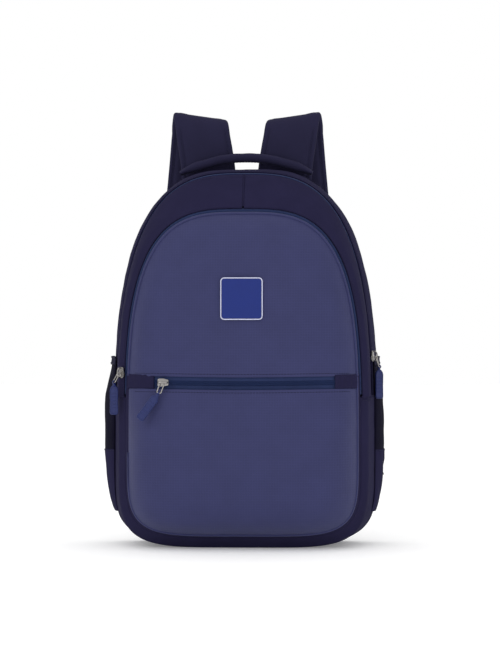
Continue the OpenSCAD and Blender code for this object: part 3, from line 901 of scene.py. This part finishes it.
# Seam with a folded edge where the lower cloth meets the upper cloth at each side
for side, word in ((1, "right"), (-1, "left")):
    path = [(side * (half_at(y, SEAM_Z) + 0.9), y, SEAM_Z) for y in spread(-25, 88, 2.5)]
    obj = tube(f"side_seam_{word}", path, 1.1, DARK, 8, (side, 0, 0), flat=0.6)
    finish_piece(obj, "dark_cloth", body="bag")
    path = [(side * (half_at(y, SEAM_Z - 4) + 1.9), y, SEAM_Z - 4) for y in spread(-24, 12, 2.5)]
    row = stitches(f"side_seam_stitches_{word}", path, (side, 0, 0), THREAD)
    finish_piece(row, "dark_cloth", body="bag")


# ---- arched zips


def arch_path(y, z_cut, inset, step=2.0):
    a = angle_at(y, z_cut, inset)
    return evenly([edge_point(y, a + (180 - 2 * a) * ease(i / 300), inset) for i in range(301)], step)


def sloped(p):
    v = np.array([p[0], 0, p[2] - 170], float)
    v /= np.linalg.norm(v)
    return v + np.array([0, -0.85, 0])


def seam_fold(name, y):
    """Turned-in edge that closes the gap between a cloth's edge and the zip tape under it."""
    steps = [arch_grid([y], SEAM_Z + 2, inset) for inset in (0.1, 0.9, 1.7, 2.5)]
    grid = [[point for column in row for point in column] for row in zip(*steps)]
    return cloth(name, grid, DARK, forward, thick=0.6)


finish_piece(seam_fold("rear_gusset_fold_cloth", 28.7), "dark_cloth", body="bag")
finish_piece(seam_fold("crescent_fold_cloth", 15.2), "dark_cloth", body=HALF)


def arched_tape(name, word, ys, z_cut, inset, facing, body):
    grid = arch_grid(spread(*ys), z_cut, inset)
    obj = cloth(f"{name}_zip_{word}_tape_cloth", grid, TAPE, facing, thick=TAPE_THICK)
    finish_piece(obj, "zip_tape", f"{name}_zip_{word}_tape", body=body)


def arched_coil(name, word, side, y, z_cut, inset, facing, body):
    obj = coil(f"{name}_zip_coil_{word}", arch_path(y, z_cut, inset), facing, side, COIL)
    finish_piece(obj, "zip_tape", body=body)


arched_tape("main", "rear", (30, 20.2, 1.6), SEAM_Z + 2, 1.6, radial, "bag")
arched_tape("main", "front", (19.8, 13, 1.6), SEAM_Z + 2, 1.6, radial, HALF)
arched_coil("main", "rear", 1, MAIN_ZIP_Y, SEAM_Z + 8, 1.5, radial, "bag")
arched_coil("main", "front", -1, MAIN_ZIP_Y, SEAM_Z + 8, 1.5, radial, HALF)
arched_tape("middle", "rear", (-20.5, -25.8, 1.4), SEAM_Z + 3, 1.6, sloped, HALF)
arched_tape("middle", "front", (-26.2, -33, 1.4), FOLD_Z, 1.4, sloped, FLAP)
arched_coil("middle", "rear", 1, MIDDLE_ZIP_Y, SEAM_Z + 8, 1.0, sloped, HALF)
arched_coil("middle", "front", -1, MIDDLE_ZIP_Y, FOLD_Z + 1, 1.0, sloped, FLAP)

for name, y, body in (
    ("rear_gusset_stitches", 31.5, "bag"),
    ("crescent_rear_stitches", 13, HALF),
    ("crescent_front_stitches", -20.2, HALF),
):
    row = stitches(name, arch_path(y, SEAM_Z + 5, -0.5, 1.5), radial if y > -12 else sloped, THREAD)
    finish_piece(row, "dark_cloth", body=body)

# Seam down the middle of the crescent
path = []
for y in spread(15, -21, 1.4):
    across = (y - CRESCENT_FRONT_Y) / (CRESCENT_REAR_Y - CRESCENT_FRONT_Y)
    path.append((0, y, rim_at(y, 0) + 0.8 + 2.0 * max(0, math.sin(math.pi * across)) ** 0.7))
obj = tube("crescent_middle_seam", path, 0.8, DARK, 6, (0, 0, 1))
finish_piece(obj, "dark_cloth", body="front_half")

# Binding over the rear seam, all the way round
loop = [edge_point(89.5, a, -0.2) for a in np.linspace(-90, 90, 200)]
loop += [(-p[0], p[1], p[2]) for p in loop[-2:0:-1]]
loop = [(p[0], p[1], max(2.2, p[2])) for p in evenly(loop + loop[:1], 3)[:-1]]
obj = tube("rear_binding", loop, 2.3, WEB, 10, (0, 1, 0), closed=True, flat=1.3)
finish_piece(obj, "webbing", body="bag")

# ---- side pockets

POCKET_BACK_Y = 78
POCKET_FRONT_Y = 32
POCKET_SEAM_Z = 112
POCKET_RIM_Z = 224


def pocket_swell(bulge, z):
    if z > POCKET_SEAM_Z:
        hug = 1 - 0.6 * max(0, min(1, (z - 180) / 40))
        return (5 + (bulge - 5) * max(0, math.cos(math.radians(90 * abs(z - 150) / 85))) ** 0.8) * hug
    return 1 + (bulge - 1.8) * math.sqrt(max(0, (z - 38) / (POCKET_SEAM_Z - 38)))


def pocket_grid(side, bulge, z_low, z_high, rows, out):
    grid = []
    for i in range(49):
        f = ease(i / 48)
        y = POCKET_BACK_Y + (POCKET_FRONT_Y - POCKET_BACK_Y) * f
        row = []
        for z in np.linspace(z_low, z_high, rows):
            x = half_at(y, z) + 2.2 + out + pocket_swell(bulge, z) * max(0, math.sin(math.pi * f)) ** 0.6
            row.append((side * x, y, z))
        grid.append(row)
    return grid


for side, word, bulge in ((-1, "left", 10.5), (1, "right", 7.5)):

    def outward(p):
        return (side, 0, 0)

    def net_push(f, t, p):
        return crinkle(p, 26, 1.2) * math.sin(math.pi * f) + crinkle((p[0], p[1], p[2] * 0.3), 8, 0.5)

    def hem_push(f, t, p):
        return 0.5 + 0.45 * math.sin(f * 44 + 1.5 * math.sin(f * 17)) * math.sin(math.pi * f)

    for part, low, high, rows, out, material, push, thick, slot, node in (
        ("net", POCKET_SEAM_Z, POCKET_RIM_Z - 7, 40, 0.0, MESH, net_push, 0.8, "mesh", "side_mesh"),
        ("foot", 40, POCKET_SEAM_Z + 2, 30, 0.3, DARK, net_push, 1.2, "lining", "side_base"),
        ("hem", POCKET_RIM_Z - 9, POCKET_RIM_Z, 8, 0.4, WEB, hem_push, 1.6, "mesh", "side_hem"),
    ):
        grid = pocket_grid(side, bulge, low, high, rows, out)
        obj = cloth(f"side_pocket_{part}_{word}", grid, material, outward, push, thick)
        finish_piece(obj, slot, f"{node}_{word}", body="bag")
    rim_line = [r[-1] for r in pocket_grid(side, bulge, POCKET_RIM_Z - 9, POCKET_RIM_Z, 2, 0.9)]
    obj = tube(f"side_pocket_rim_{word}", rim_line, 1.2, WEB, 8, (0, 0, 1))
    finish_piece(obj, "mesh", body="bag")
    for z, tag in ((POCKET_SEAM_Z + 0.5, "seam"), (POCKET_RIM_Z - 7, "hem")):
        line = [r[-1] for r in pocket_grid(side, bulge, z - 2, z, 2, 1.6)]
        row = stitches(f"side_pocket_{tag}_stitches_{word}", line, (side, 0, 0), THREAD)
        finish_piece(row, "mesh", body="bag")

# ---- inside


def wall_depth(y, size, amount):
    return lambda x, z: y + crinkle((x, z, y), size, amount)


def whole_outline(y, inset, z_low, z_top=1000.0):
    a = [edge_point(y, g, inset) for g in np.linspace(-90, 90, 220)]
    loop = a + [(-p[0], p[1], p[2]) for p in a[::-1]]
    flat = [(p[0], 0, max(z_low, min(z_top, p[2]))) for p in loop]
    dense = evenly(flat + flat[:1], 2)[:-1]
    return dense[::3][:, [0, 2]]


def inner_wall(name, outline, middle_z, depth, rings, thick, slot, *nodes, body="bag"):
    obj = panel(name, outline, (0, middle_z), depth, LINING, forward, rings, thick, 1.2)
    finish_piece(obj, slot, *nodes, body=body)


outline = whole_outline(-12, 6, 8)
depth = wall_depth(-12.6, 60, 1.5)
nodes = "divider_lower", "divider_upper"
inner_wall("divider_cloth", outline, 200, depth, 30, 1.2, "dark_cloth", *nodes, body=HALF)
outline = whole_outline(70, 9, 13, 292)
inner_wall("sleeve_cloth", outline, 150, wall_depth(70.6, 60, 1.0), 30, 1.5, "dark_cloth", "sleeve_panel")
obj = prism("sleeve_edge_binding", rounded_rect(280, 8, 2, cz=296), 69, 73, LINING, 1.2)
finish_piece(obj, "lining", "sleeve_binding", body="bag")
outline = whole_outline(-32, 4, 24, 205.5)
depth = wall_depth(-37.6, 50, 1.2)
inner_wall("pocket_lining_cloth", outline, 110, depth, 26, 1.2, "lining", "pocket_lining")
obj = make(
    "base_board_plate",
    [(x, y, z) for x in (-105, 105) for y in (2, 68) for z in (8.5, 11.5)],
    [(0, 1, 3, 2), (4, 6, 7, 5), (0, 4, 5, 1), (2, 3, 7, 6), (0, 2, 6, 4), (1, 5, 7, 3)],
    BOARD,
)
soften(obj, 1.0)
flatten_shading(obj)
finish_piece(obj, "black_plastic", "base_board", body="bag")

# ---- back panel and pads


def back_depth(x, z):
    n = 4
    rho = min(1, ((abs(x) / 154) ** n + (abs(z - 225) / 222) ** n) ** (1 / n))
    return 89.5 + 3.4 * (1 - rho**10) + crinkle((x, z, 9), 60, 0.8)


outline = whole_outline(REAR_SEAM_Y, 2.5, 3)
obj = panel("back_panel_cloth", outline, (0, 220), back_depth, DARK, backward, 40, 2.5)
finish_piece(obj, "dark_cloth", "back_panel", body="bag")


def pillow(name, w, h, thick, x, y, z, material, rows=44, columns=34):
    """Padded block on the back panel: flat inside, domed outside, with a rounded rectangular outline."""
    front, back = [], []
    for i in range(rows + 1):
        for j in range(columns + 1):
            u, v = -1 + 2 * i / rows, -1 + 2 * j / columns
            px, pz = math.sin(u * math.pi / 2) * w / 2, math.sin(v * math.pi / 2) * h / 2
            limit = (abs(math.sin(u * math.pi / 2)) ** 8 + abs(math.sin(v * math.pi / 2)) ** 8) ** (1 / 8)
            k = 1 / max(limit, 1)
            px, pz = px * k, pz * k
            dome = max(0, 1 - min(1, limit) ** 5) ** 0.55
            front.append((x + px, y + thick * dome + crinkle((px, 0, pz), 22, 0.4) * dome, z + pz))
            back.append((x + px, y - 0.3, z + pz))
    line = columns + 1
    n = (rows + 1) * line
    faces = grid_faces(rows + 1, line)
    faces += [tuple(n + k for k in f[::-1]) for f in faces]
    border = [i * line for i in range(rows)] + [rows * line + j for j in range(columns)]
    border += [(rows - i) * line + columns for i in range(rows)] + [columns - j for j in range(columns)]
    faces += [(a, b, n + b, n + a) for a, b in zip(border, border[1:] + border[:1])]
    obj = make(name, front + back, faces, material, uv=[(p[0], p[2]) for p in front + back])
    return face_outwards(obj)


PAD_W, PAD_THICK = 96, 6.4
PAD_X, PAD_Y = 66, 92.6
CHANNEL = 32


def swollen_pad(pad, x, z, h):
    """Cloth simulation of a back pad, with two channels sewn across it afterwards."""

    def free(p):
        edge = min(PAD_W / 2 - abs(p[0] - x), h / 2 - abs(p[2] - z))
        return 0.0 if p[1] < PAD_Y + 1.5 else min(1, max(0, edge / 14))

    swell(pad, free, 5, 4.5)
    for v in pad.data.vertices:
        p = v.co / MM
        if p[1] > PAD_Y + 1.5:
            near = min(abs(p[2] - z - CHANNEL / 2), abs(p[2] - z + CHANNEL / 2))
            v.co.y -= 4.2 * MM * math.exp(-((near / 2.4) ** 2)) * min(1, (p[1] - PAD_Y) / PAD_THICK)


for level, z_low, z_high in (("low", 48, 190), ("high", 248, 380)):
    for side, word in ((-1, "left"), (1, "right")):
        x, z, h = side * PAD_X, (z_low + z_high) / 2, z_high - z_low
        pad = pillow(f"back_pad_{word}_{level}", PAD_W, h, PAD_THICK, x, PAD_Y, z, PAD_MESH)
        swollen_pad(pad, x, z, h)
        finish_piece(pad, "mesh", "back_pads", body="bag")
        edge = [(x + dx, PAD_Y + 0.8, z + dz) for dx, dz in rounded_rect(PAD_W + 1, h + 1, 9)]
        piping = tube(f"back_pad_piping_{word}_{level}", edge, 1.3, WEB, 8, (0, 1, 0), closed=True)
        finish_piece(piping, "webbing", body="bag")

# ---- yoke, handle, straps

obj = prism("yoke_patch", rounded_rect(176, 40, 4, cz=412), 92.4, 94.6, DARK, 0.6)
finish_piece(obj, "dark_cloth", "top_yoke", body="bag")
yoke_line = [(x, 94.7, z) for x, z in rounded_rect(170, 34, 3, cz=412)]
row = stitches("yoke_stitches", yoke_line + yoke_line[:1], (0, 1, 0), THREAD)
finish_piece(row, "dark_cloth", body="bag")

HANDLE = (
    (-80, 84, 446), (-73, 84, 450), (-60, 84, 455), (-44, 84, 459.5), (-24, 84, 464), (0, 84, 465.5),
    (24, 84, 464), (44, 84, 459.5), (60, 84, 455), (73, 84, 450), (80, 84, 446),
)
path = smooth_path(HANDLE, 2.0)
t, a, o = frames_along(path, (0, 1, 0))
rings = []
for i, p in enumerate(path):
    end = min(1, min(i, len(path) - 1 - i) / 10)
    wide, deep = 5.6 + 2.5 * (1 - end), 5.6 - 2.6 * (1 - end)
    ring = []
    for k in range(20):
        g = 2 * math.pi * k / 20
        q = p + deep * math.cos(g) * a[i] + wide * math.sin(g) * o[i]
        ring.append(q + (q - p) / 5.6 * crinkle(q, 11, 0.35))
    rings.append(ring)
obj = loft("rolled_handle", rings, STRAP)
finish_piece(obj, "webbing", "handle", body="handle")
under = [p - a[i] * 5.3 if a[i][2] > 0 else p + a[i] * 5.3 for i, p in enumerate(path)][8:-8]
finish_piece(stitches("handle_seam_stitches", under, (0, 0, -1), THREAD), "webbing", body="handle")
for side, word in ((-1, "left"), (1, "right")):
    grid = [[(side * x, y, rim_at(y, x) + 2.6) for y in spread(76, 91, 1.5)] for x in spread(70, 90, 1.5)]
    obj = cloth(f"handle_anchor_patch_{word}", grid, WEB, radial, thick=1.6)
    finish_piece(obj, "webbing", f"handle_anchor_{word}", body="bag")

STRAP_PATH = (
    (46, 102, 434), (47, 102, 452), (50, 102.5, 474), (53, 103.5, 492), (55, 107, 507), (57, 114, 513.5),
    (58.5, 120.5, 510), (60, 125, 501), (60, 125.5, 494), (61, 126, 484), (64, 126, 450), (68, 124.5, 410),
    (75, 122, 360), (84, 120, 310), (93, 119, 260), (101, 119, 215), (107, 119, 180),
)
STRAP_WIDTH = ((0, 66), (180, 66), (300, 63), (370, 54), (420, 40))
STRAP_STEP = 3.0
SEAM_IN = 6
WEBBING_WIDTH = 25.0
WEBBING_THICK = 1.5
LOCK_AT = Vector((110, 119, 163))
LOCK_LEAN = -18
# Bars of the lock as (width, height, x, z, half depth), and the webbing in it, all in the lock's own frame
LOCK_BARS = (
    (4.4, 28, -14.8, 0, 2.5), (4.4, 28, 14.8, 0, 2.5), (30, 4.2, 0, 11.9, 2.3), (30, 8.4, 0, 0.8, 2.0),
    (30, 5.4, 0, -11.2, 2.5),
)
LOOP_PATH = (
    (-1, 1.0, 26), (-0.5, 2.2, 19), (0, 2.9, 14), (0, 0.2, 9), (0, -2.9, 13), (0, -2.6, 19), (0, -1.0, 26),
)
WEB_IN_LOCK = ((0, -3.4, -12.5), (0, -1.5, -7.5), (0, 1.6, -5))
TURN_PATH = ((0, 1.2, 6.6), (0, 2.9, 5.4), (0, 3.5, 1), (0, 3.5, -8), (0, 3.5, -19))
TAIL_PATH = (
    (0, 5.0, 3.0), (0, 5.1, 0), (0, 5.1, -12), (0, 5.0, -40), (0, 4.9, -84), (0, 5.6, -91.5),
    (0, 6.8, -91.2), (0, 6.7, -84),
)
# Webbing from the wing up to the lock, the wing's outline, its seam and the ends of its cross stitches
WEB_PATH = ((156, 97, 76), (149, 101, 92), (139, 107, 110), (128, 112.6, 128), (119.5, 115.4, 142))
WING = ((126, 36), (149, 36), (157, 58), (164, 80), (168, 100), (168, 113), (150, 118), (126, 118))
WING_SEAM = ((148, 41), (154, 60), (160.5, 81), (164, 100), (164, 109.5), (149, 114))
WING_CROSS = (((146, 64), (162, 80)), ((162, 64), (146, 80)), ((146, 80), (162, 80)), ((146, 64), (162, 64)))


def strap_rings(left):
    path = smooth_path(STRAP_PATH, STRAP_STEP)
    t = np.gradient(path, axis=0)
    t /= np.linalg.norm(t, axis=1, keepdims=True)
    across = np.array([1.0, 0, 0]) - t[:, :1] * t
    across /= np.linalg.norm(across, axis=1, keepdims=True)
    deep = np.cross(t, across)
    lengths = np.concatenate([[0], np.cumsum(np.linalg.norm(np.diff(path, axis=0), axis=1))])
    rings, edges = [], []
    for i, p in enumerate(path):
        s = lengths[i]
        half = lookup(s, STRAP_WIDTH) / 2
        thick = 5.6 * min(1, 0.35 + s / 30, 0.4 + (lengths[-1] - s) / 40)
        channel = 0.38 - 0.3 * max(0, min(1, (p[2] - 496) / 10))
        ring = []
        for k in range(56):
            g = 2 * math.pi * k / 56
            c, d = math.cos(g), math.sin(g)
            x = half * math.copysign(abs(c) ** (2 / 5), c)
            y = thick * math.copysign(abs(d) ** (2 / 2.6), d)
            y *= 1 - channel * math.exp(-(((abs(x) - half + SEAM_IN) / 2.0) ** 2))
            q = p + x * across[i] + y * deep[i]
            slant = 0.15 * max(0, min(1, (p[2] - 440) / 70)) ** 1.5
            ring.append(q + deep[i] * crinkle(q, 24, 0.7) + np.array([0, 0, x * slant]))
        rings.append(ring)
        edges.append((p, across[i] + np.array([0, 0, slant]), deep[i], half, thick))
    return mirrored(np.array(rings), left), edges


def swollen_strap(obj, edges, mirror):
    """Cloth simulation of a strap, held by its edge seams and its ends."""
    centres = np.array([e[0] for e in edges])

    def free(p):
        q = np.array(p) * mirror
        k = int(np.argmin(((centres - q) ** 2).sum(1)))
        middle, across, _, half, _ = edges[k]
        inside = half - SEAM_IN - abs(np.dot(q - middle, across))
        from_end = min(k, len(edges) - 1 - k) * STRAP_STEP
        return min(1, max(0, inside / 12)) * min(1, max(0, from_end - 6) / 12)

    swell(obj, free, 2.6, 4.0)


def in_lock(points, mirror):
    """Points of the ladder lock's own frame, placed on one side of the bag."""
    lean = Matrix.Rotation(math.radians(LOCK_LEAN), 3, "Y")
    return [np.array(lean @ Vector(p) + LOCK_AT) * mirror for p in points]


def ribbon(name, path, hint):
    """Flat webbing along a path, its face towards hint."""
    t, a, o = frames_along(path, hint)
    shape = [(-WEBBING_WIDTH / 2 + WEBBING_WIDTH * k / 14, -WEBBING_THICK / 2) for k in range(15)]
    shape += [(x, WEBBING_THICK / 2) for x, _ in shape[::-1]]
    rings = [[path[i] + x * a[i] + y * o[i] for x, y in shape] for i in range(len(path))]
    obj = loft(name, rings, WEB)
    flatten_shading(obj, 50)
    return obj


for left, word in ((True, "left"), (False, "right")):
    mirror = np.array([-1.0 if left else 1.0, 1, 1])
    rings, edges = strap_rings(left)
    obj = loft(f"shoulder_strap_{word}", rings, STRAP)
    swollen_strap(obj, edges, mirror)
    fold = ("bag", f"strap_{word}", (0, 110.5, 500), (0, 121, 499.6))
    finish_piece(obj, "strap_cloth", f"strap_root_{word}", f"strap_{word}", body=fold)
    for k, (edge, front) in enumerate(((1, 1), (-1, 1), (1, -1), (-1, -1))):
        seam = [
            (p + edge * (half - SEAM_IN) * across + front * (thick * 0.63) * deep) * mirror
            for p, across, deep, half, thick in edges[4:-4]
        ]
        hints = np.array([front * deep * mirror for _, _, deep, _, _ in edges[4:-4]])
        dense = evenly(seam, 3.6)
        share = np.linspace(0, 1, len(dense))
        base = np.linspace(0, 1, len(hints))
        hint = np.stack([np.interp(share, base, hints[:, c]) for c in range(3)], axis=1)
        t, a, o = frames_along(dense, hint)
        places = [(dense[i] + o[i] * 0.25, t[i], a[i], o[i]) for i in range(len(dense))]
        row = beads(f"strap_stitches_{word}_{k}", places, STITCH, STITCH_FACES, THREAD)
        finish_piece(row, "strap_cloth", body=fold)

    bars = [
        prism(f"lock_bar_{word}_{k}", rounded_rect(w, h, min(w, h) * 0.3, cx=x, cz=z), -d, d, PLASTIC, 0.7)
        for k, (w, h, x, z, d) in enumerate(LOCK_BARS)
    ]
    lock = join(bars, f"ladder_lock_frame_{word}")
    place(lock, Matrix.Translation(LOCK_AT) @ Matrix.Rotation(math.radians(LOCK_LEAN), 4, "Y"))
    if left:
        lock.data.transform(Matrix.Scale(-1, 4, (1, 0, 0)))
        lock.data.flip_normals()
    finish_piece(lock, "black_plastic", f"ladder_lock_{word}", body=f"strap_{word}")

    obj = ribbon(f"lock_loop_{word}", smooth_path(in_lock(LOOP_PATH, mirror), 1.5), (0, 1, 0.2))
    finish_piece(obj, "webbing", body=f"strap_{word}")
    web = [np.array(p) * mirror for p in WEB_PATH] + in_lock(WEB_IN_LOCK, mirror)
    obj = ribbon(f"lower_webbing_{word}", smooth_path(web, 2.0), (0, 1, 0))
    hang = ("bag", f"strap_{word}", (0, 99, 84), (0, 116, 148))
    finish_piece(obj, "webbing", f"webbing_{word}", body=hang)
    obj = ribbon(f"webbing_turn_{word}", smooth_path(in_lock(TURN_PATH, mirror), 1.5), (0, 1, 0.05))
    finish_piece(obj, "webbing", body=f"strap_{word}")
    obj = ribbon(f"webbing_end_{word}", smooth_path(in_lock(TAIL_PATH, mirror), 1.5), (0, 1, 0.05))
    finish_piece(obj, "webbing", f"web_tail_{word}", body=f"web_tail_{word}")

    obj = prism(f"seam_wing_{word}", [(x * mirror[0], z) for x, z in WING], 92.6, 95.0, DARK, 0.8)
    finish_piece(obj, "dark_cloth", f"anchor_wing_{word}", body="bag")
    seam = [(x * mirror[0], 95.1, z) for x, z in WING_SEAM]
    finish_piece(stitches(f"wing_stitches_{word}", seam, (0, 1, 0), THREAD), "dark_cloth", body="bag")
    for k, ends in enumerate(WING_CROSS):
        seam = [(x * mirror[0], 98.1, z) for x, z in ends]
        row = stitches(f"wing_cross_{word}_{k}", seam, (0, 1, 0), THREAD, 2.6)
        finish_piece(row, "webbing", body="bag")

# ---- zip sliders, links and tabs
# Each is drawn with its zip along +Z, its face towards -Y and the tape at y = 0.

LINK_DROP = 13.0
PULL_Y = 6.0
SLIDER_PLATE = [
    (-2.9, 6.6), (2.9, 6.6), (3.6, 5.6), (3.9, 3.2), (4.7, 1.4), (4.7, -4.2), (3.6, -6.0),
    (-3.6, -6.0), (-4.7, -4.2), (-4.7, 1.4), (-3.9, 3.2), (-3.6, 5.6),
]


SLIDER_FLANK = [(4.8, 1.0), (4.8, -4.4), (3.9, -4.8), (3.9, 1.2)]
SLIDER_CROWN = [
    (0, -3.0, 5.2), (0, -5.2, 5.6), (0, -7.2, 4.6), (0, -7.9, 2.4), (0, -8.0, 0), (0, -7.9, -2.4),
    (0, -7.2, -4.4), (0, -5.2, -5.3), (0, -3.0, -5.0),
]
TAB_EDGE = [
    (-2.0, -3.6), (2.0, -3.6), (4.2, -6.2), (5.0, -9.5), (4.7, -22), (5.0, -35.5), (4.2, -37.4), (2.8, -38),
]


def slider(name):
    """Body of a slider: two plates, flanks at the tape's edges and an arched crown for the link."""
    plate = prism(name, SLIDER_PLATE, -3.4, -1.4, METAL, 0.5)
    ridge = prism(name + "_ridge", [(x * 0.62, z * 0.8) for x, z in SLIDER_PLATE], -3.9, -3.2, METAL, 0.35)
    arch = tube(name + "_crown", smooth_path(SLIDER_CROWN, 0.7), 0.75, METAL, 10, (1, 0, 0), flat=1.5)
    flanks = [
        prism(f"{name}_flank{s}", [(s * x, z) for x, z in SLIDER_FLANK], -2.2, 0.6, METAL, 0.25)
        for s in (-1, 1)
    ]
    return join([plate, ridge, arch] + flanks, name)


def link(name):
    """Wire loop from the crown down to the tab's eye."""
    loop = []
    for sx, z0, z1 in ((1, -1.6, -LINK_DROP + 1.6), (-1, -LINK_DROP + 1.6, -1.6)):
        loop += [(sx * 2.4, 0, z) for z in np.linspace(z0, z1, 10)]
        for k in range(1, 8):
            a = math.pi * k / 8
            x = sx * 2.4 * math.cos(a)
            z = z1 + (-1.6 if sx > 0 else 1.6) * math.sin(a)
            loop.append((x, 0, z))
    return tube(name, loop, 0.8, METAL, 12, (0, 1, 0), closed=True)


def tab(name, twist):
    """Moulded tab: neck round the link, raised rim and a sunken grip with ribs."""
    angles = [2 * math.pi * k / 24 for k in range(24)]
    eye = [(0, 1.75 * math.sin(a), 1.75 * math.cos(a)) for a in angles]
    ring = tube(name + "_eye", eye, 0.72, TAB, 10, (1, 0, 0), closed=True, flat=1.35)
    neck = [(-1.3, -1.6), (1.3, -1.6), (2.2, -5.0), (-2.2, -5.0)]
    neck = prism(name + "_neck", neck, -1.1, 1.1, TAB, 0.3)
    outline = TAB_EDGE + [(-x, z) for x, z in TAB_EDGE[:1:-1]]
    blade = prism(name, outline, -1.0, 1.0, TAB, 0.45)
    rims = []
    for sy in (-1, 1):
        rim_line = [(x * 0.86, sy, -21 + (z + 21) * 0.94) for x, z in outline]
        dense = evenly(rim_line + rim_line[:1], 1.0)[:-1]
        rims.append(tube(f"{name}_rim{sy}", dense, 0.5, TAB, 8, (0, 1, 0), closed=True))
        for k in range(5):
            z = -13 - 4.2 * k
            bar = [(x, sy * 0.95, z) for x in np.linspace(-2.6, 2.6, 6)]
            rims.append(tube(f"{name}_rib{sy}{k}", bar, 0.42, TAB, 8, (0, 1, 0)))
    turned = join([blade] + rims, name)
    place(turned, Matrix.Rotation(math.radians(twist), 4, "Z"))
    return join([turned, ring, neck], name)


def face(turn):
    """Direction that a slider's face looks in when it is turned about Z."""
    return Vector((math.sin(math.radians(turn)), -math.cos(math.radians(turn)), 0))


def rot(degrees, axis):
    return Matrix.Rotation(math.radians(degrees), 4, axis)


def side_zip(name, at, turn, lean, swing, twist):
    at = Vector(at)
    pull_at = at + PULL_Y * face(turn)
    s = math.radians(swing)
    link_at = pull_at + LINK_DROP * (math.sin(s) * face(turn) - Vector((0, 0, math.cos(s))))
    piece = place(slider(f"{name}_slider_body"), Matrix.Translation(at) @ rot(lean, "Y") @ rot(turn, "Z"))
    finish_piece(piece, "zip_metal", f"{name}_slider", body=f"{name}_slider")
    piece = place(link(f"{name}_pull_link"), Matrix.Translation(pull_at) @ rot(turn, "Z") @ rot(-swing, "X"))
    finish_piece(piece, "zip_metal", f"{name}_pull", body=f"{name}_pull")
    piece = place(tab(f"{name}_pull_tab", twist), Matrix.Translation(link_at) @ rot(turn, "Z"))
    finish_piece(piece, "blue_tab", f"{name}_tab", body=f"{name}_tab")


side_zip("main", (half_at(24, 225), 24, 225), 78, -4, 20, -53)
side_zip("middle", (-half_at(-20, 206), -20, 206), -52, 3, 32, 52)

front_at = Vector((-91, FRONT_Y, ZIP_Z))
piece = place(slider("front_slider_body"), Matrix.Translation(front_at) @ rot(90, "Y"))
finish_piece(piece, "zip_metal", "front_slider", body="front_slider")
hang = Matrix.Translation(front_at + PULL_Y * face(0)) @ rot(-7, "X") @ rot(20, "Y")
piece = place(link("front_pull_link"), hang)
finish_piece(piece, "zip_metal", "front_pull", body="front_pull")
piece = place(tab("front_pull_tab", 0), hang @ Matrix.Translation((0, 0, -LINK_DROP)) @ rot(16, "Y"))
finish_piece(piece, "blue_tab", "front_tab", body="front_tab")

# ---- studio

FLOOR = moulded("pale_floor", (0.97, 0.97, 0.97), 0.8, 0.0, spec=0.05)
glow = FLOOR.node_tree.nodes["Principled BSDF"]
glow.inputs["Emission Color"].default_value = (1.0, 1.0, 1.0, 1.0)
glow.inputs["Emission Strength"].default_value = 0.18
corners = [(-9000, -9000, 0), (9000, -9000, 0), (9000, 9000, 0), (-9000, 9000, 0)]
floor = make("studio_floor", corners, [(0, 1, 2, 3)], FLOOR)

world = bpy.data.worlds.new("studio")
bpy.context.scene.world = world
world.use_nodes = True
world.node_tree.nodes["Background"].inputs["Color"].default_value = (1.0, 1.0, 1.0, 1.0)
sky = world.node_tree
split = sky.nodes.new("ShaderNodeSeparateXYZ")
sky.links.new(sky.nodes.new("ShaderNodeTexCoord").outputs["Generated"], split.inputs[0])
sides = sky.nodes.new("ShaderNodeMath")
sides.operation = "POWER"
sky.links.new(split.outputs["X"], sides.inputs[0])
sides.inputs[1].default_value = 2
fade = sky.nodes.new("ShaderNodeMapRange")
fade.inputs["From Min"].default_value = 0.1
fade.inputs["From Max"].default_value = 0.95
fade.inputs["To Min"].default_value = 1.0
fade.inputs["To Max"].default_value = 0.55
sky.links.new(sides.outputs[0], fade.inputs["Value"])
sky.links.new(fade.outputs[0], sky.nodes["Background"].inputs["Strength"])


def lamp(name, at, aim, size, watts):
    data = bpy.data.lights.new(name, "AREA")
    data.shape = "RECTANGLE"
    data.size, data.size_y = size
    data.energy = watts
    obj = bpy.data.objects.new(name, data)
    bpy.context.scene.collection.objects.link(obj)
    obj.location = at
    obj.rotation_euler = (Vector(aim) - Vector(at)).to_track_quat("-Z", "Y").to_euler()
    return obj


lamp("softbox_left", (-1.5, -2.2, 1.7), (0, 0, 0.25), (1.3, 1.3), 10)
lamp("softbox_right", (1.8, -2.0, 1.3), (0, 0, 0.25), (1.0, 1.4), 5)
lamp("top_strip", (0.0, 0.6, 2.2), (0, 0.05, 0.3), (1.6, 0.8), 3)

camera_data = bpy.data.cameras.new("camera")
camera = bpy.data.objects.new("camera", camera_data)
bpy.context.scene.collection.objects.link(camera)
camera_data.sensor_fit = "VERTICAL"
camera_data.sensor_height = 36
camera_data.lens = 135
azimuth = math.radians(2)
target = Vector((0.0054, 0.06, 0.254))
camera.location = target + 3.0 * Vector((math.sin(azimuth), -math.cos(azimuth), 0))
camera.rotation_euler = (target - camera.location).to_track_quat("-Z", "Y").to_euler()
bpy.context.scene.camera = camera
bpy.context.scene.view_settings.view_transform = "Standard"
bpy.context.scene.view_settings.look = "None"
